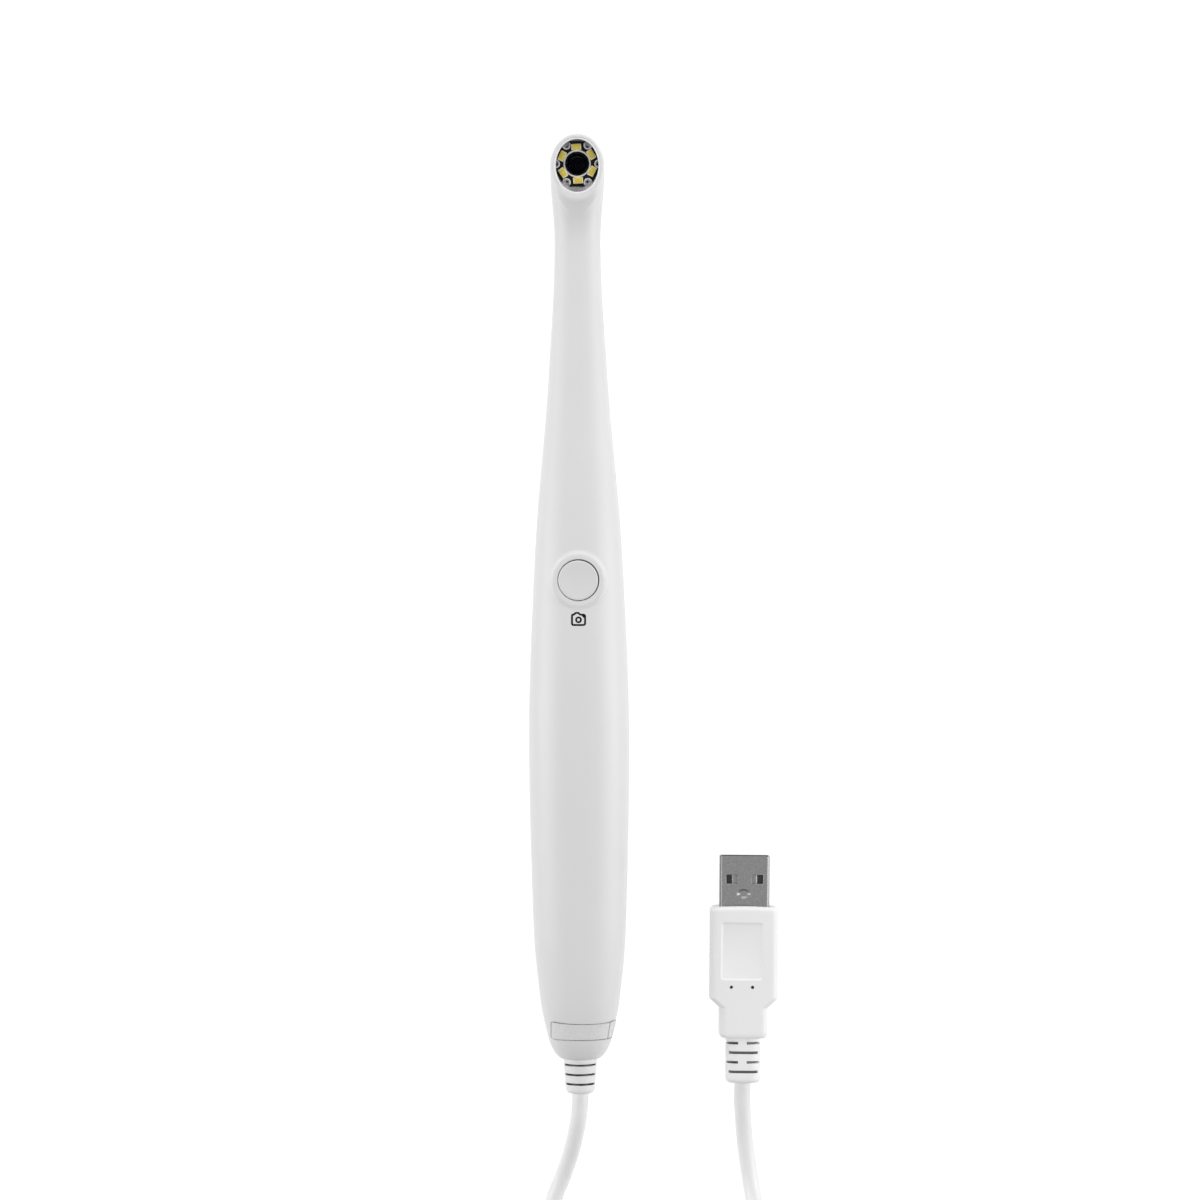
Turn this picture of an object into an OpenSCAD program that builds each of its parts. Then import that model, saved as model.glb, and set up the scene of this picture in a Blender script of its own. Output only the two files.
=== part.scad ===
/* [Handpiece length] */
// Length of the white housing, from the top of the head to the tail face
body_len = 221.6; // [218:0.2:232]
// Distance from the top of the head to its widest place
head_at = 8.5; // [7.8:0.1:10]
// Distance from the top to the narrowest place of the neck
neck_at = 26; // [23:0.5:32]
// Distance from the top to the throat, where the neck starts to widen
throat_at = 59; // [52:1:66]
// Distance from the top to the shoulder of the grip
shoulder_at = 100; // [92:1:104]
// Distance from the top to the widest place of the grip
belly_at = 145; // [135:1:155]
// Distance from the tail face to the heel, where the grip starts to close
heel_off = 31.6; // [26:0.2:36]
// Distance from the tail face to the start of the tail
tail_off = 13.6; // [10:0.2:18]

/* [Handpiece width] */
// Width of the head
head_w = 13; // [13:0.1:14.4]
// Width of the neck
neck_w = 11; // [10:0.1:12.4]
// Width at the throat
throat_w = 14.2; // [13:0.1:16]
// Width at the shoulder
shoulder_w = 20.8; // [20:0.1:23]
// Width at the widest place of the grip
belly_w = 24; // [22:0.1:27]
// Width at the heel
heel_w = 22.1; // [20.5:0.1:24]
// Width at the start of the tail
tail_w = 18.8; // [17.5:0.1:21]
// Width that the sides run to at the tail face, before the end is rounded
end_w = 12.8; // [12.4:0.1:13.6]

/* [Handpiece profile] */
// Height of the front of the head above the surface that the back lies on
head_front = 17.4; // [17:0.1:18]
// Height of the front of the neck
neck_front = 14.6; // [14:0.1:15.6]
// Height of the front at the throat
throat_front = 16.2; // [15.4:0.1:17.4]
// Height of the front at the shoulder
shoulder_front = 19.7; // [19.2:0.1:20.6]
// Height of the front at the widest place
belly_front = 21.2; // [20.4:0.1:23]
// Height of the front at the heel
heel_front = 20.4; // [19.6:0.1:21.6]
// Height of the front at the start of the tail
tail_front = 19.2; // [18:0.1:20]
// Height of the front at the tail face, before the end is rounded
end_front = 16.6; // [16.2:0.1:17.4]
// Height of the back of the head
head_back = 4.4; // [3.8:0.1:4.8]
// Height of the back of the neck
neck_back = 5.2; // [4.6:0.1:5.8]
// Height of the back at the throat
throat_back = 3.6; // [3:0.1:4.4]
// Height of the back at the shoulder
shoulder_back = 0.9; // [0.5:0.1:1.4]
// Height of the back at the start of the tail
tail_back = 0.8; // [0.4:0.1:1.2]
// Height of the back at the tail face, before the end is rounded
end_back = 3; // [2.6:0.1:3.4]

/* [Shells] */
// Thickness of the housing wall
wall = 1.2; // [1:0.05:1.4]
// Squareness of the cross-section, 2 is a true ellipse
section_power = 2.3; // [2:0.05:2.6]
// Length over which the top of the head rounds off
head_round = 7.5; // [6.8:0.1:7.8]
// Length over which the tail rounds off
tail_round = 4.8; // [4:0.1:5]
// Width of the flat face at the tail
tail_face_w = 8.3; // [8.3:0.1:9]

/* [Window] */
// Distance from the top of the head to the centre of the window
window_at = 8.6; // [8.5:0.05:8.8]
// Width of the window opening
window_w = 10.2; // [10.1:0.05:10.5]
// Length of the window opening
window_l = 12.6; // [12.5:0.05:12.9]
// Radius of the round ends of the window opening
window_end_r = 4.6; // [4.4:0.05:4.8]
// Width of the rim around the opening
rim_w = 1.2; // [1.1:0.05:1.4]
// Height of the rim above the front of the head
rim_rise = 0.5; // [0.3:0.05:0.8]
// Width of the ledge that carries the pane
ledge_w = 0.35; // [0.25:0.05:0.45]
// Thickness of the ledge
ledge_t = 0.5; // [0.4:0.05:0.6]
// Thickness of the pane
pane_t = 0.8; // [0.6:0.05:1]
// How far the pane lies below the top of the rim
pane_sink = 0.15; // [0.05:0.05:0.3]

/* [Light ring] */
// How far the lens and its lights sit from the middle of the window, towards the head's top
optics_off = 0.65; // [0.4:0.05:0.7]
// Distance from one flat of the light board to the opposite flat
led_board_w = 10.74; // [10.5:0.02:10.8]
// Thickness of the light board
led_board_t = 0.8; // [0.6:0.1:1]
// Space between the ledge and the light board
led_space = 0.85; // [0.8:0.05:1]
// Radius of the notches in the light board
notch_r = 1.05; // [0.9:0.05:1.15]
// Distance of the notches from the lens axis
notch_at = 5.1; // [5:0.05:5.3]
// Distance of the lights from the lens axis
led_at = 4.05; // [4.05:0.05:4.2]
// Length of a light, along the ring
led_l = 2.4; // [2:0.1:2.6]
// Width of a light, away from the lens
led_w = 1.5; // [1.4:0.05:1.5]
// Height of a light
led_t = 0.5; // [0.4:0.05:0.6]
// Turn of the ring of lights against the notches, in degrees
led_turn = 3; // [0:0.5:5]
// Thickness of the metal plate under the light board
carrier_t = 0.5; // [0.4:0.05:0.7]
// Diameter of the small holes in that plate
carrier_hole_d = 0.5; // [0.4:0.05:0.6]
// Distance of those holes from the lens axis
carrier_hole_at = 4.85; // [4.7:0.05:4.9]

/* [Lens] */
// Diameter of the lens barrel
barrel_d = 5.7; // [5.5:0.05:5.8]
// Height of the barrel above the light board
barrel_rise = 0.55; // [0.4:0.05:0.7]
// Diameter of the front glass
front_lens_d = 5.1; // [4.8:0.05:5.2]
// Thickness of the front glass
front_lens_t = 0.7; // [0.5:0.05:0.9]
// Diameter of the light path through the barrel
lens_bore_d = 3.4; // [3:0.1:4]
// Outer diameter of the white ring around the barrel
lens_ring_d = 6.5; // [6.3:0.05:6.6]
// Height of the white ring
lens_ring_t = 0.3; // [0.2:0.05:0.4]
// Outer diameter of the lens holder
holder_d = 8; // [7.6:0.1:8.4]
// Diameter of the sensor board
sensor_board_d = 9; // [8.8:0.1:9.2]
// Thickness of the sensor board
sensor_board_t = 0.8; // [0.6:0.1:1]
// Height of the underside of the sensor board
sensor_board_z = 8.2; // [8:0.1:8.4]
// Side of the square image sensor
sensor_w = 4.6; // [4:0.1:4.8]
// Height of the image sensor
sensor_t = 0.9; // [0.7:0.1:1]
// Thickness of the filter over the sensor
filter_t = 0.3; // [0.2:0.05:0.4]
// Air in front of the sensor, and again behind the rear lens
lens_air = 0.4; // [0.3:0.05:0.5]
// Thickness of the rear lens
rear_lens_t = 0.8; // [0.6:0.1:1]
// How far the front glass lies below the top of the barrel
lens_sink = 0.1; // [0.05:0.05:0.2]

/* [Button] */
// Distance from the top of the head to the centre of the button
button_at = 107.2; // [106:0.2:109]
// Diameter of the button
button_d = 9.5; // [9.2:0.1:9.9]
// Gap between the button and its bore
button_gap = 0.2; // [0.15:0.05:0.35]
// Travel of the button
button_travel = 0.4; // [0.3:0.05:0.5]
// Width of the raised collar around the button
collar_w = 1.4; // [1.2:0.05:1.5]
// Height of the collar above the grip
collar_rise = 0.25; // [0.1:0.05:0.5]
// Height of the button above its collar
button_rise = 0.15; // [0.1:0.05:0.4]
// Depth of the dish in the button
dish_depth = 0.25; // [0.1:0.05:0.35]
// Length of the guide tube inside the collar
guide_l = 3.1; // [2.9:0.1:3.3]

/* [Boards] */
// Height of the underside of the main board
board_z = 8.2; // [8:0.1:8.4]
// Thickness of the boards
board_t = 1.2; // [1:0.1:1.4]
// Width of the main board
board_w = 14; // [12:0.5:14.5]
// Distance from the head end of the main board to the button
board_lead = 12.2; // [11.8:0.1:13]
// Distance from the tail end of the main board to the tail face
board_off = 28.6; // [27:0.2:34]
// Width of the ribbon from the head
flex_w = 4; // [3:0.25:4.5]
// Thickness of the ribbon
flex_t = 0.3; // [0.2:0.05:0.4]
// Side of the switch body
switch_w = 6; // [5.5:0.1:6.2]
// Height of the switch body
switch_h = 3.4; // [3.2:0.1:3.6]
// Diameter of the switch plunger
plunger_d = 3.5; // [3:0.1:3.6]
// How far the plunger stands out of the switch
plunger_out = 1.5; // [1.2:0.1:1.8]
// Diameter of the posts under the main board
post_d = 4.8; // [4.4:0.1:5.2]
// Diameter of the screw shanks
screw_d = 1.8; // [1.6:0.1:2]
// Distance from the button to the first post
post_lead = 13; // [11:0.5:15]
// Distance from the tail end of the main board to the second post
post_off = 14; // [12:0.5:16]
// Distance from the tail end of the main board to the wire socket
socket_edge = 2; // [1:0.5:3]
// Length of the wire socket
socket_l = 5; // [4:0.5:6]
// Length of the connector on the wires
housing_l = 4.5; // [4:0.5:5.5]
// How deep that connector sits in its socket
plug_depth = 1.5; // [1:0.25:2.5]

/* [Strain relief] */
// Length of the strain relief outside the housing
relief_len = 8.6; // [8:0.2:10]
// Diameter of the strain relief at the housing
relief_d = 8.1; // [7.9:0.1:8.2]
// Diameter of the strain relief near its end
relief_end_d = 7; // [6.6:0.1:7.4]
// Diameter of the neck that passes through the tail wall
relief_neck_d = 6.8; // [6.4:0.1:7.2]
// Diameter of the flange inside the tail
relief_flange_d = 9.2; // [8.8:0.1:9.4]
// Thickness of that flange
relief_flange_l = 2; // [1.5:0.1:2.5]
// Length of cord inside the housing, behind the flange
root_len = 3; // [2:0.5:5]
// Width of the flexing slots
relief_slot = 0.35; // [0.3:0.05:0.5]
// Distance from one slot to the next
relief_pitch = 2.3; // [2:0.05:2.4]
// Distance from the tail face to the first slot
relief_slot_from = 1.4; // [1.2:0.1:1.8]

/* [Label] */
// Distance from the tail face to the near edge of the clear label
label_off = 4.9; // [4:0.1:5.5]
// Width of the label along the handpiece
label_h = 4.7; // [3.5:0.1:5]
// Thickness of the label
label_t = 0.1; // [0.06:0.01:0.15]

/* [Cord] */
// Diameter of the cord
cord_d = 3.9; // [3.5:0.1:4]
// Mean radius of the coiled turns
coil_r = 22.2; // [21:0.2:24]
// Radial width of the coiled bundle, cord included
coil_w = 15.9; // [14:0.1:17]
// Height of the coiled bundle
coil_h = 15.6; // [14:0.1:16]
// Thickness of the tie around the coil
tie_t = 0.5; // [0.4:0.05:0.8]
// Width of the tie
tie_w = 6; // [4:0.5:8]

/* [Plug] */
// Width of the metal shell of the plug
usb_w = 12; // [11.9:0.05:12.1]
// Height of the metal shell
usb_h = 4.5; // [4.4:0.05:4.6]
// Length of the metal shell outside the grip
usb_l = 12; // [11.6:0.1:13]
// Sheet thickness of the metal shell
usb_t = 0.3; // [0.25:0.05:0.35]
// Width of the moulded grip
grip_w = 16.4; // [15.4:0.1:17.4]
// Height of the moulded grip
grip_h = 8; // [7.6:0.1:8.6]
// Length of the wide part of the grip, with its chamfers
grip_l = 24.6; // [23.6:0.1:26]
// Length of the chamfers at the back of the wide part
grip_taper = 2.4; // [1.5:0.1:3]
// Width of the narrow part behind the wide one
waist_w = 11.6; // [10.6:0.1:12.6]
// Length of the narrow part
waist_l = 7.2; // [6.5:0.1:8.5]
// Width of the flexible boot
boot_w = 8.3; // [7.9:0.1:8.6]
// Height of the flexible boot
boot_h = 6.8; // [6.5:0.1:7.4]
// Length of the flexible boot
boot_l = 10.9; // [10.6:0.1:12]
// Width of the slots in the boot
boot_slot = 0.65; // [0.5:0.05:0.8]
// Distance from one row of slots to the next
boot_pitch = 2.32; // [2.2:0.02:2.4]
// Width of the recessed panel on the grip
panel_w = 10.4; // [9:0.1:11]
// Length of the recessed panel
panel_l = 14; // [12:0.1:15]

/* [Hidden] */
$fn = 48;

white = [0.9, 0.9, 0.9];
black = [0.05, 0.05, 0.06];
steel = [0.6, 0.6, 0.62];
gold = [0.85, 0.68, 0.3];
green = [0.1, 0.35, 0.2];

// Small distance by which a cutter runs past the face that it opens
past = 0.5;
// Loose fit between pieces that are put together by hand
fit = 0.05;

// The handpiece lies along Y with its head towards +Y, its back on the surface, and its
// centre above the origin. Places along it are given as the distance from the top.
top_y = (body_len + relief_len) / 2;
relief_end_y = -top_y;
function y_at(t) = top_y - t;

heel_at = body_len - heel_off;
tail_at = body_len - tail_off;

// A smooth curve through stations [place, value]. It never overshoots a station.
function rate(p, i) = (p[i + 1][1] - p[i][1]) / (p[i + 1][0] - p[i][0]);
function slope(p, i) =
    i == 0 ? 0 :
    i == len(p) - 1 ? rate(p, i - 1) :
    rate(p, i - 1) * rate(p, i) <= 0 ? 0 :
    2 / (1 / rate(p, i - 1) + 1 / rate(p, i));
function span_of(p, t, i = 0) = i >= len(p) - 2 || t < p[i + 1][0] ? i : span_of(p, t, i + 1);
function on_span(p, i, h, u) =
    (2 * u ^ 3 - 3 * u ^ 2 + 1) * p[i][1] + (3 * u ^ 2 - 2 * u ^ 3) * p[i + 1][1]
    + (u ^ 3 - 2 * u ^ 2 + u) * h * slope(p, i) + (u ^ 3 - u ^ 2) * h * slope(p, i + 1);
function curve(p, t) =
    t <= p[0][0] ? p[0][1] :
    let (i = span_of(p, t), h = p[i + 1][0] - p[i][0]) on_span(p, i, h, (t - p[i][0]) / h);

widths = [[head_at, head_w], [neck_at, neck_w], [throat_at, throat_w],
    [shoulder_at, shoulder_w], [belly_at, belly_w], [heel_at, heel_w], [tail_at, tail_w],
    [body_len, end_w]];
fronts = [[head_at, head_front], [neck_at, neck_front], [throat_at, throat_front],
    [shoulder_at, shoulder_front], [belly_at, belly_front], [heel_at, heel_front],
    [tail_at, tail_front], [body_len, end_front]];
backs = [[head_at, head_back], [neck_at, neck_back], [throat_at, throat_back],
    [shoulder_at, shoulder_back], [belly_at, 0], [heel_at, 0], [tail_at, tail_back],
    [body_len, end_back]];

// Both ends close with an elliptic round. inset is 0 outside and the wall inside.
face_share = tail_face_w / end_w;
function head_cap(t, inset) =
    t >= head_round ? 1 : sqrt(max(0, 1 - ((head_round - t) / (head_round - inset)) ^ 2));
function tail_cap(t, inset) =
    t <= body_len - tail_round ? 1 :
    face_share + (1 - face_share)
    * sqrt(max(0, 1 - ((t - body_len + tail_round) / (tail_round - inset)) ^ 2));
function cap(t, inset) = head_cap(t, inset) * tail_cap(t, inset);
function mid_z(t) = (curve(fronts, t) + curve(backs, t)) / 2;
function half_w(t, inset) = (curve(widths, t) / 2 - inset) * cap(t, inset);
function half_h(t, inset) = ((curve(fronts, t) - curve(backs, t)) / 2 - inset) * cap(t, inset);
function front_z(t) = curve(fronts, t);
function back_z(t) = curve(backs, t);

// A point of the section at t. turn runs from 0 at +X over the front to 180 at -X.
bend = 2 / section_power;
function signed_power(v, e) = sign(v) * abs(v) ^ e;
function skin(t, turn, inset, side = 1) = [
    half_w(t, inset) * signed_power(cos(turn), bend),
    y_at(t),
    mid_z(t) + side * half_h(t, inset) * signed_power(sin(turn), bend)
];

// The places of the rings: close together at both ends, and at the edges of the label
head_rings = 7;
grip_rings = 36;
tail_rings = 4;
turns = 14;
label_to = body_len - label_off;
label_from = label_to - label_h;
ring_places = concat(
    [for (i = [1 : head_rings]) head_round * (1 - cos(90 * i / head_rings))],
    [for (i = [1 : grip_rings]) head_round + (label_from - head_round) * i / grip_rings],
    [(label_from + label_to) / 2, label_to],
    [for (i = [0 : tail_rings]) let (t = body_len - tail_round * (1 - sin(90 * i / tail_rings)))
        if (t > label_to + fit) t]
);
function inner_place(t) = wall + t * (body_len - 2 * wall) / body_len;

// One half of the housing: an outer and an inner skin, joined along the parting line
module half_shell(side) {
    n = len(ring_places);
    m = turns + 1;
    outer = [for (t = ring_places, j = [0 : turns]) skin(t, 180 * j / turns, 0, side)];
    inner = [for (t = ring_places, j = [0 : turns])
        skin(inner_place(t), 180 * j / turns, wall, side)];
    base = n * m;
    last = (n - 1) * m;
    quads = concat(
        [for (i = [0 : n - 2], j = [0 : turns - 1])
            [i * m + j, i * m + j + 1, (i + 1) * m + j + 1, (i + 1) * m + j]],
        [for (i = [0 : n - 2], j = [0 : turns - 1])
            [base + i * m + j, base + (i + 1) * m + j,
             base + (i + 1) * m + j + 1, base + i * m + j + 1]],
        [for (i = [0 : n - 2]) [i * m, (i + 1) * m, base + (i + 1) * m, base + i * m]],
        [for (i = [0 : n - 2])
            [i * m + turns, base + i * m + turns, base + (i + 1) * m + turns, (i + 1) * m + turns]],
        [[0, base, base + turns, turns], [last, last + turns, base + last + turns, base + last]]
    );
    fans = concat(
        [for (j = [1 : turns - 1]) [0, j + 1, j]],
        [for (j = [1 : turns - 1]) [last, last + j, last + j + 1]],
        [for (j = [1 : turns - 1]) [base, base + j, base + j + 1]],
        [for (j = [1 : turns - 1]) [base + last, base + last + j + 1, base + last + j]]
    );
    halves = [for (q = quads) each [[q[0], q[1], q[2]], [q[0], q[2], q[3]]]];
    faces = concat(halves, fans);
    polyhedron(concat(outer, inner), side > 0 ? [for (f = faces) [f[2], f[1], f[0]]] : faces);
}

// A rectangle with round corners, and a box along Y with that section
module rounded_rect(w, l, r) {
    for (x = [-1, 1], y = [-1, 1]) translate([x * (w / 2 - r), y * (l / 2 - r)]) circle(r);
    square([w - 2 * r, l], center = true);
    square([w, l - 2 * r], center = true);
}
module bar_y(y0, y1, w, h, r) {
    translate([0, y0, 0]) rotate([-90, 0, 0]) linear_extrude(y1 - y0) rounded_rect(w, h, r);
}
module block(x0, x1, y0, y1, z0, z1) {
    translate([x0, y0, z0]) cube([x1 - x0, y1 - y0, z1 - z0]);
}
module rod_z(d, z0, z1) {
    translate([0, 0, z0]) cylinder(d = d, h = z1 - z0);
}
module rod_y(d, y0, y1) {
    translate([0, y0, 0]) rotate([-90, 0, 0]) cylinder(d = d, h = y1 - y0);
}

// The window is an oval of four arcs: two tight ones at the ends and two wide ones along
// the sides. out moves the outline outwards.
oval_end_y = window_l / 2 - window_end_r;
oval_side_x = (oval_end_y ^ 2 - (window_w / 2 - window_end_r) ^ 2)
    / (2 * (window_w / 2 - window_end_r));
oval_side_r = window_w / 2 + oval_side_x;
oval_turn = atan2(oval_end_y, oval_side_x);
module window_oval(out) {
    side_r = oval_side_r + out;
    for (y = [-1, 1]) translate([0, y * oval_end_y]) circle(window_end_r + out);
    intersection() {
        translate([-oval_side_x, 0]) circle(side_r);
        translate([oval_side_x, 0]) circle(side_r);
        square([window_w + 2 * out + 1, 2 * side_r * sin(oval_turn)], center = true);
    }
}
// Heights in the head, from the rim down to the sensor
rim_z = head_front + rim_rise;
pane_z = rim_z - pane_sink - pane_t;
ledge_z = pane_z - ledge_t;
led_z = ledge_z - led_space;
carrier_z = led_z - led_board_t;
holder_z1 = carrier_z - carrier_t;
sensor_z = sensor_board_z + sensor_board_t;
filter_z = sensor_z + sensor_t + lens_air;
barrel_z = filter_z + filter_t + lens_air;
barrel_top = led_z + barrel_rise;
bezel_z = holder_z1 - 1;
rim_round = 0.4;
slice_t = 0.01;
lens_at = window_at - optics_off;
module at_window() {
    translate([0, y_at(window_at), 0]) children();
}
module at_lens() {
    translate([0, y_at(lens_at), 0]) children();
}

// Heights at the button
board_top = board_z + board_t;
collar_z = front_z(button_at) + collar_rise;
guide_z = collar_z - guide_l;
collar_round = 0.5;
cap_top = collar_z + button_rise;
flange_z = guide_z - 2 * fit;
flange_t = 1;
flange_w = 0.9;
cap_wall = 1;
cap_roof = 1.5;
bore_d = button_d + 2 * button_gap;
collar_d = bore_d + 2 * collar_w;
switch_top = board_top + switch_h;
stem_z = switch_top + plunger_out;
switch_floor = 1;
switch_room = 0.2;
module at_button() {
    translate([0, y_at(button_at), 0]) children();
}

// The two screws that hold the main board
screw_head_d = 2 * screw_d;
screw_head_t = 1;
screw_slot_l = 2.4;
screw_slot_w = 0.4;
screw_short = 1;

// Places along the boards and at the tail
board_from = button_at - board_lead;
board_to = body_len - board_off;
board_l = board_to - board_from;
post_places = [button_at + post_lead, board_to - post_off];
socket_to = board_to - socket_edge;
socket_face = socket_to - plug_depth;
housing_to = socket_face + housing_l;
relief_face = body_len - wall;
flange_from = relief_face - relief_flange_l;
root_from = flange_from - root_len;
tail_z = mid_z(body_len);

module window_cuts() {
    at_window() {
        translate([0, 0, pane_z]) linear_extrude(rim_z - pane_z + past)
            window_oval(ledge_w + fit);
        translate([0, 0, ledge_z - past]) linear_extrude(2 * past + ledge_t) window_oval(0);
        translate([0, 0, bezel_z]) linear_extrude(ledge_z - bezel_z) window_oval(ledge_w);
    }
}
// The raised rim around the window, with a rounded edge
module rim() {
    at_window() hull() {
        rim_slice(bezel_z, rim_z - rim_round - bezel_z, 0);
        for (turn = [30, 60, 90])
            rim_slice(rim_z - rim_round * (1 - sin(turn)) - slice_t, slice_t, 1 - cos(turn));
    }
}
module rim_slice(z, h, share) {
    translate([0, 0, z]) linear_extrude(h) window_oval(rim_w - rim_round * share, $fn = 32);
}
module button_collar() {
    at_button() rotate_extrude() {
        translate([bore_d / 2, guide_z]) square([collar_w, collar_z - collar_round - guide_z]);
        translate([bore_d / 2, collar_z - collar_round])
            square([collar_w - collar_round, collar_round]);
        translate([collar_d / 2 - collar_round, collar_z - collar_round]) circle(collar_round);
    }
}
module tail_bore() {
    translate([0, 0, tail_z]) {
        rod_y(relief_neck_d + 2 * fit, y_at(body_len) - past, y_at(relief_face) + past);
        rod_y(relief_flange_d + 2 * fit, y_at(relief_face), y_at(root_from));
    }
}

module front_shell() {
    color(white) difference() {
        union() {
            half_shell(1);
            rim();
            button_collar();
        }
        window_cuts();
        at_button() rod_z(bore_d, guide_z - past, cap_top + past);
        tail_bore();
    }
}

head_ring_d = 7.2;
head_ring_bore = 5.6;
module rear_shell() {
    color(white) difference() {
        union() {
            half_shell(-1);
            for (t = post_places) translate([0, y_at(t), 0])
                rod_z(post_d, back_z(t) + wall / 2, board_z);
            at_lens() difference() {
                rod_z(head_ring_d, back_z(lens_at) + wall / 2, sensor_board_z);
                rod_z(head_ring_bore, back_z(lens_at) + wall, sensor_board_z + past);
            }
        }
        for (t = post_places) translate([0, y_at(t), 0])
            rod_z(screw_d, back_z(t) + 2 * wall, board_z + past);
        tail_bore();
    }
}

module head_window() {
    color([0.8, 0.9, 1, 0.4]) at_window() translate([0, 0, pane_z])
        linear_extrude(pane_t) window_oval(ledge_w);
}
module carrier_plate() {
    color([0.75, 0.75, 0.78]) at_window() translate([0, 0, holder_z1])
        linear_extrude(carrier_t) difference() {
            window_oval(ledge_w - fit);
            translate([0, optics_off]) {
                circle(d = barrel_d + 2 * fit);
                for (turn = [0 : 60 : 300]) rotate(turn) translate([carrier_hole_at, 0])
                    circle(d = carrier_hole_d);
            }
        }
}
module led_board() {
    color(black) at_lens() translate([0, 0, carrier_z]) linear_extrude(led_board_t)
        difference() {
            intersection() {
                circle(led_board_w / 2 / cos(30), $fn = 6);
                translate([0, -optics_off]) window_oval(ledge_w - fit);
            }
            circle(d = barrel_d + 2 * fit);
            for (turn = [0 : 60 : 300]) rotate(turn) translate([notch_at, 0]) {
                circle(notch_r);
                square_from([0, -notch_r], [led_board_w / 2, notch_r]);
            }
        }
}
module led(k) {
    color([0.88, 0.75, 0.25]) at_lens() rotate(60 * k - 30 + led_turn)
        translate([led_at - led_w / 2, -led_l / 2, led_z]) cube([led_w, led_l, led_t]);
}
module lens_ring() {
    color(white) at_lens() difference() {
        rod_z(lens_ring_d, led_z, led_z + lens_ring_t);
        rod_z(barrel_d + 2 * fit, led_z - past, led_z + lens_ring_t + past);
    }
}
lens_seat_z = barrel_top - front_lens_t - lens_sink;
module lens_barrel() {
    color(black) at_lens() difference() {
        rod_z(barrel_d, barrel_z, barrel_top);
        rod_z(lens_bore_d, barrel_z - past, barrel_top + past);
        rod_z(front_lens_d, lens_seat_z, barrel_top + past);
    }
}
module front_lens() {
    color([0.1, 0.1, 0.15]) at_lens() rod_z(front_lens_d, lens_seat_z, lens_seat_z + front_lens_t);
}
module rear_lens() {
    color([0.6, 0.7, 0.8, 0.5]) at_lens()
        rod_z(lens_bore_d, barrel_z, barrel_z + rear_lens_t);
}
module ir_filter() {
    color([0.6, 0.8, 0.8, 0.5]) at_lens() rod_z(barrel_d, filter_z, filter_z + filter_t);
}
// The holder stands on the sensor board and carries the light ring, the barrel and the filter
module lens_holder() {
    color(black) at_lens() difference() {
        rod_z(holder_d, sensor_z, holder_z1);
        rod_z(barrel_d, filter_z, holder_z1 + past);
        translate([0, 0, sensor_z - past]) linear_extrude(filter_z - sensor_z + 2 * past)
            square(sensor_w + 4 * fit, center = true);
    }
}
module image_sensor() {
    color([0.2, 0.25, 0.3]) at_lens() translate([0, 0, sensor_z])
        linear_extrude(sensor_t) square(sensor_w, center = true);
}
tab_l = 6.4;
tab_edge = 0.3;
module sensor_board() {
    color(green) at_lens() translate([0, 0, sensor_board_z]) linear_extrude(sensor_board_t) {
        circle(d = sensor_board_d);
        square_from([-flex_w / 2 - tab_edge, -tab_l], [flex_w / 2 + tab_edge, 0]);
    }
}

// The ribbon lies on the tab, runs through the neck and lies on the main board up to its socket
flex_socket_l = 2.4;
flex_socket_h = 1.2;
flex_socket_side = 1;
flex_lap = 2.5;
flex_socket_from = board_from + flex_lap;
flex_from = lens_at + holder_d / 2 + 0.4;
module head_flex() {
    under = [[flex_from, sensor_z], [lens_at + tab_l, sensor_z],
        [board_from - 1, board_top], [flex_socket_from, board_top]];
    line = [for (p = under) [y_at(p[0]), p[1]]];
    color([0.8, 0.5, 0.15]) translate([-flex_w / 2, 0, 0]) rotate([90, 0, 90])
        linear_extrude(flex_w) polygon(concat(line,
            [for (i = [len(line) - 1 : -1 : 0]) line[i] + [0, flex_t]]));
}
module flex_socket() {
    color([0.85, 0.82, 0.75])
        block(-flex_w / 2 - flex_socket_side, flex_w / 2 + flex_socket_side,
            y_at(flex_socket_from + flex_socket_l), y_at(flex_socket_from),
            board_top, board_top + flex_socket_h);
}
module main_board() {
    color(green) difference() {
        translate([0, y_at((board_from + board_to) / 2), board_z]) linear_extrude(board_t)
            rounded_rect(board_w, board_l, 1);
        for (t = post_places) translate([0, y_at(t), 0])
            rod_z(screw_d + 4 * fit, board_z - past, board_top + past);
    }
}
// The chips share the board between the two screw heads. Each size is width, length, height.
processor_size = [9, 9, 1];
memory_size = [6, 5, 0.9];
crystal_size = [3.2, 2.5, 0.8];
chip_space = (post_places[1] - post_places[0] - screw_head_d - processor_size.y - memory_size.y) / 3;
processor_at = post_places[0] + screw_head_d / 2 + chip_space + processor_size.y / 2;
memory_at = post_places[1] - screw_head_d / 2 - chip_space - memory_size.y / 2;
memory_x = -memory_size.x / 2;
crystal_x = 1 + crystal_size.x / 2;
module chip(x, t, size) {
    translate([x, y_at(t), board_top + size.z / 2]) cube(size, center = true);
}
module image_processor() {
    color(black) chip(0, processor_at, processor_size);
}
module memory_chip() {
    color(black) chip(memory_x, memory_at, memory_size);
}
module crystal() {
    color(steel) chip(crystal_x, memory_at, crystal_size);
}
module switch_body() {
    color(black) at_button() difference() {
        translate([0, 0, board_top]) linear_extrude(switch_h) rounded_rect(switch_w, switch_w, 0.5);
        rod_z(plunger_d + 4 * fit, board_top + switch_floor, switch_top + past);
    }
}
module switch_plunger() {
    color([0.3, 0.3, 0.3]) at_button()
        rod_z(plunger_d, board_top + switch_floor + switch_room + button_travel, stem_z);
}
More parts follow.
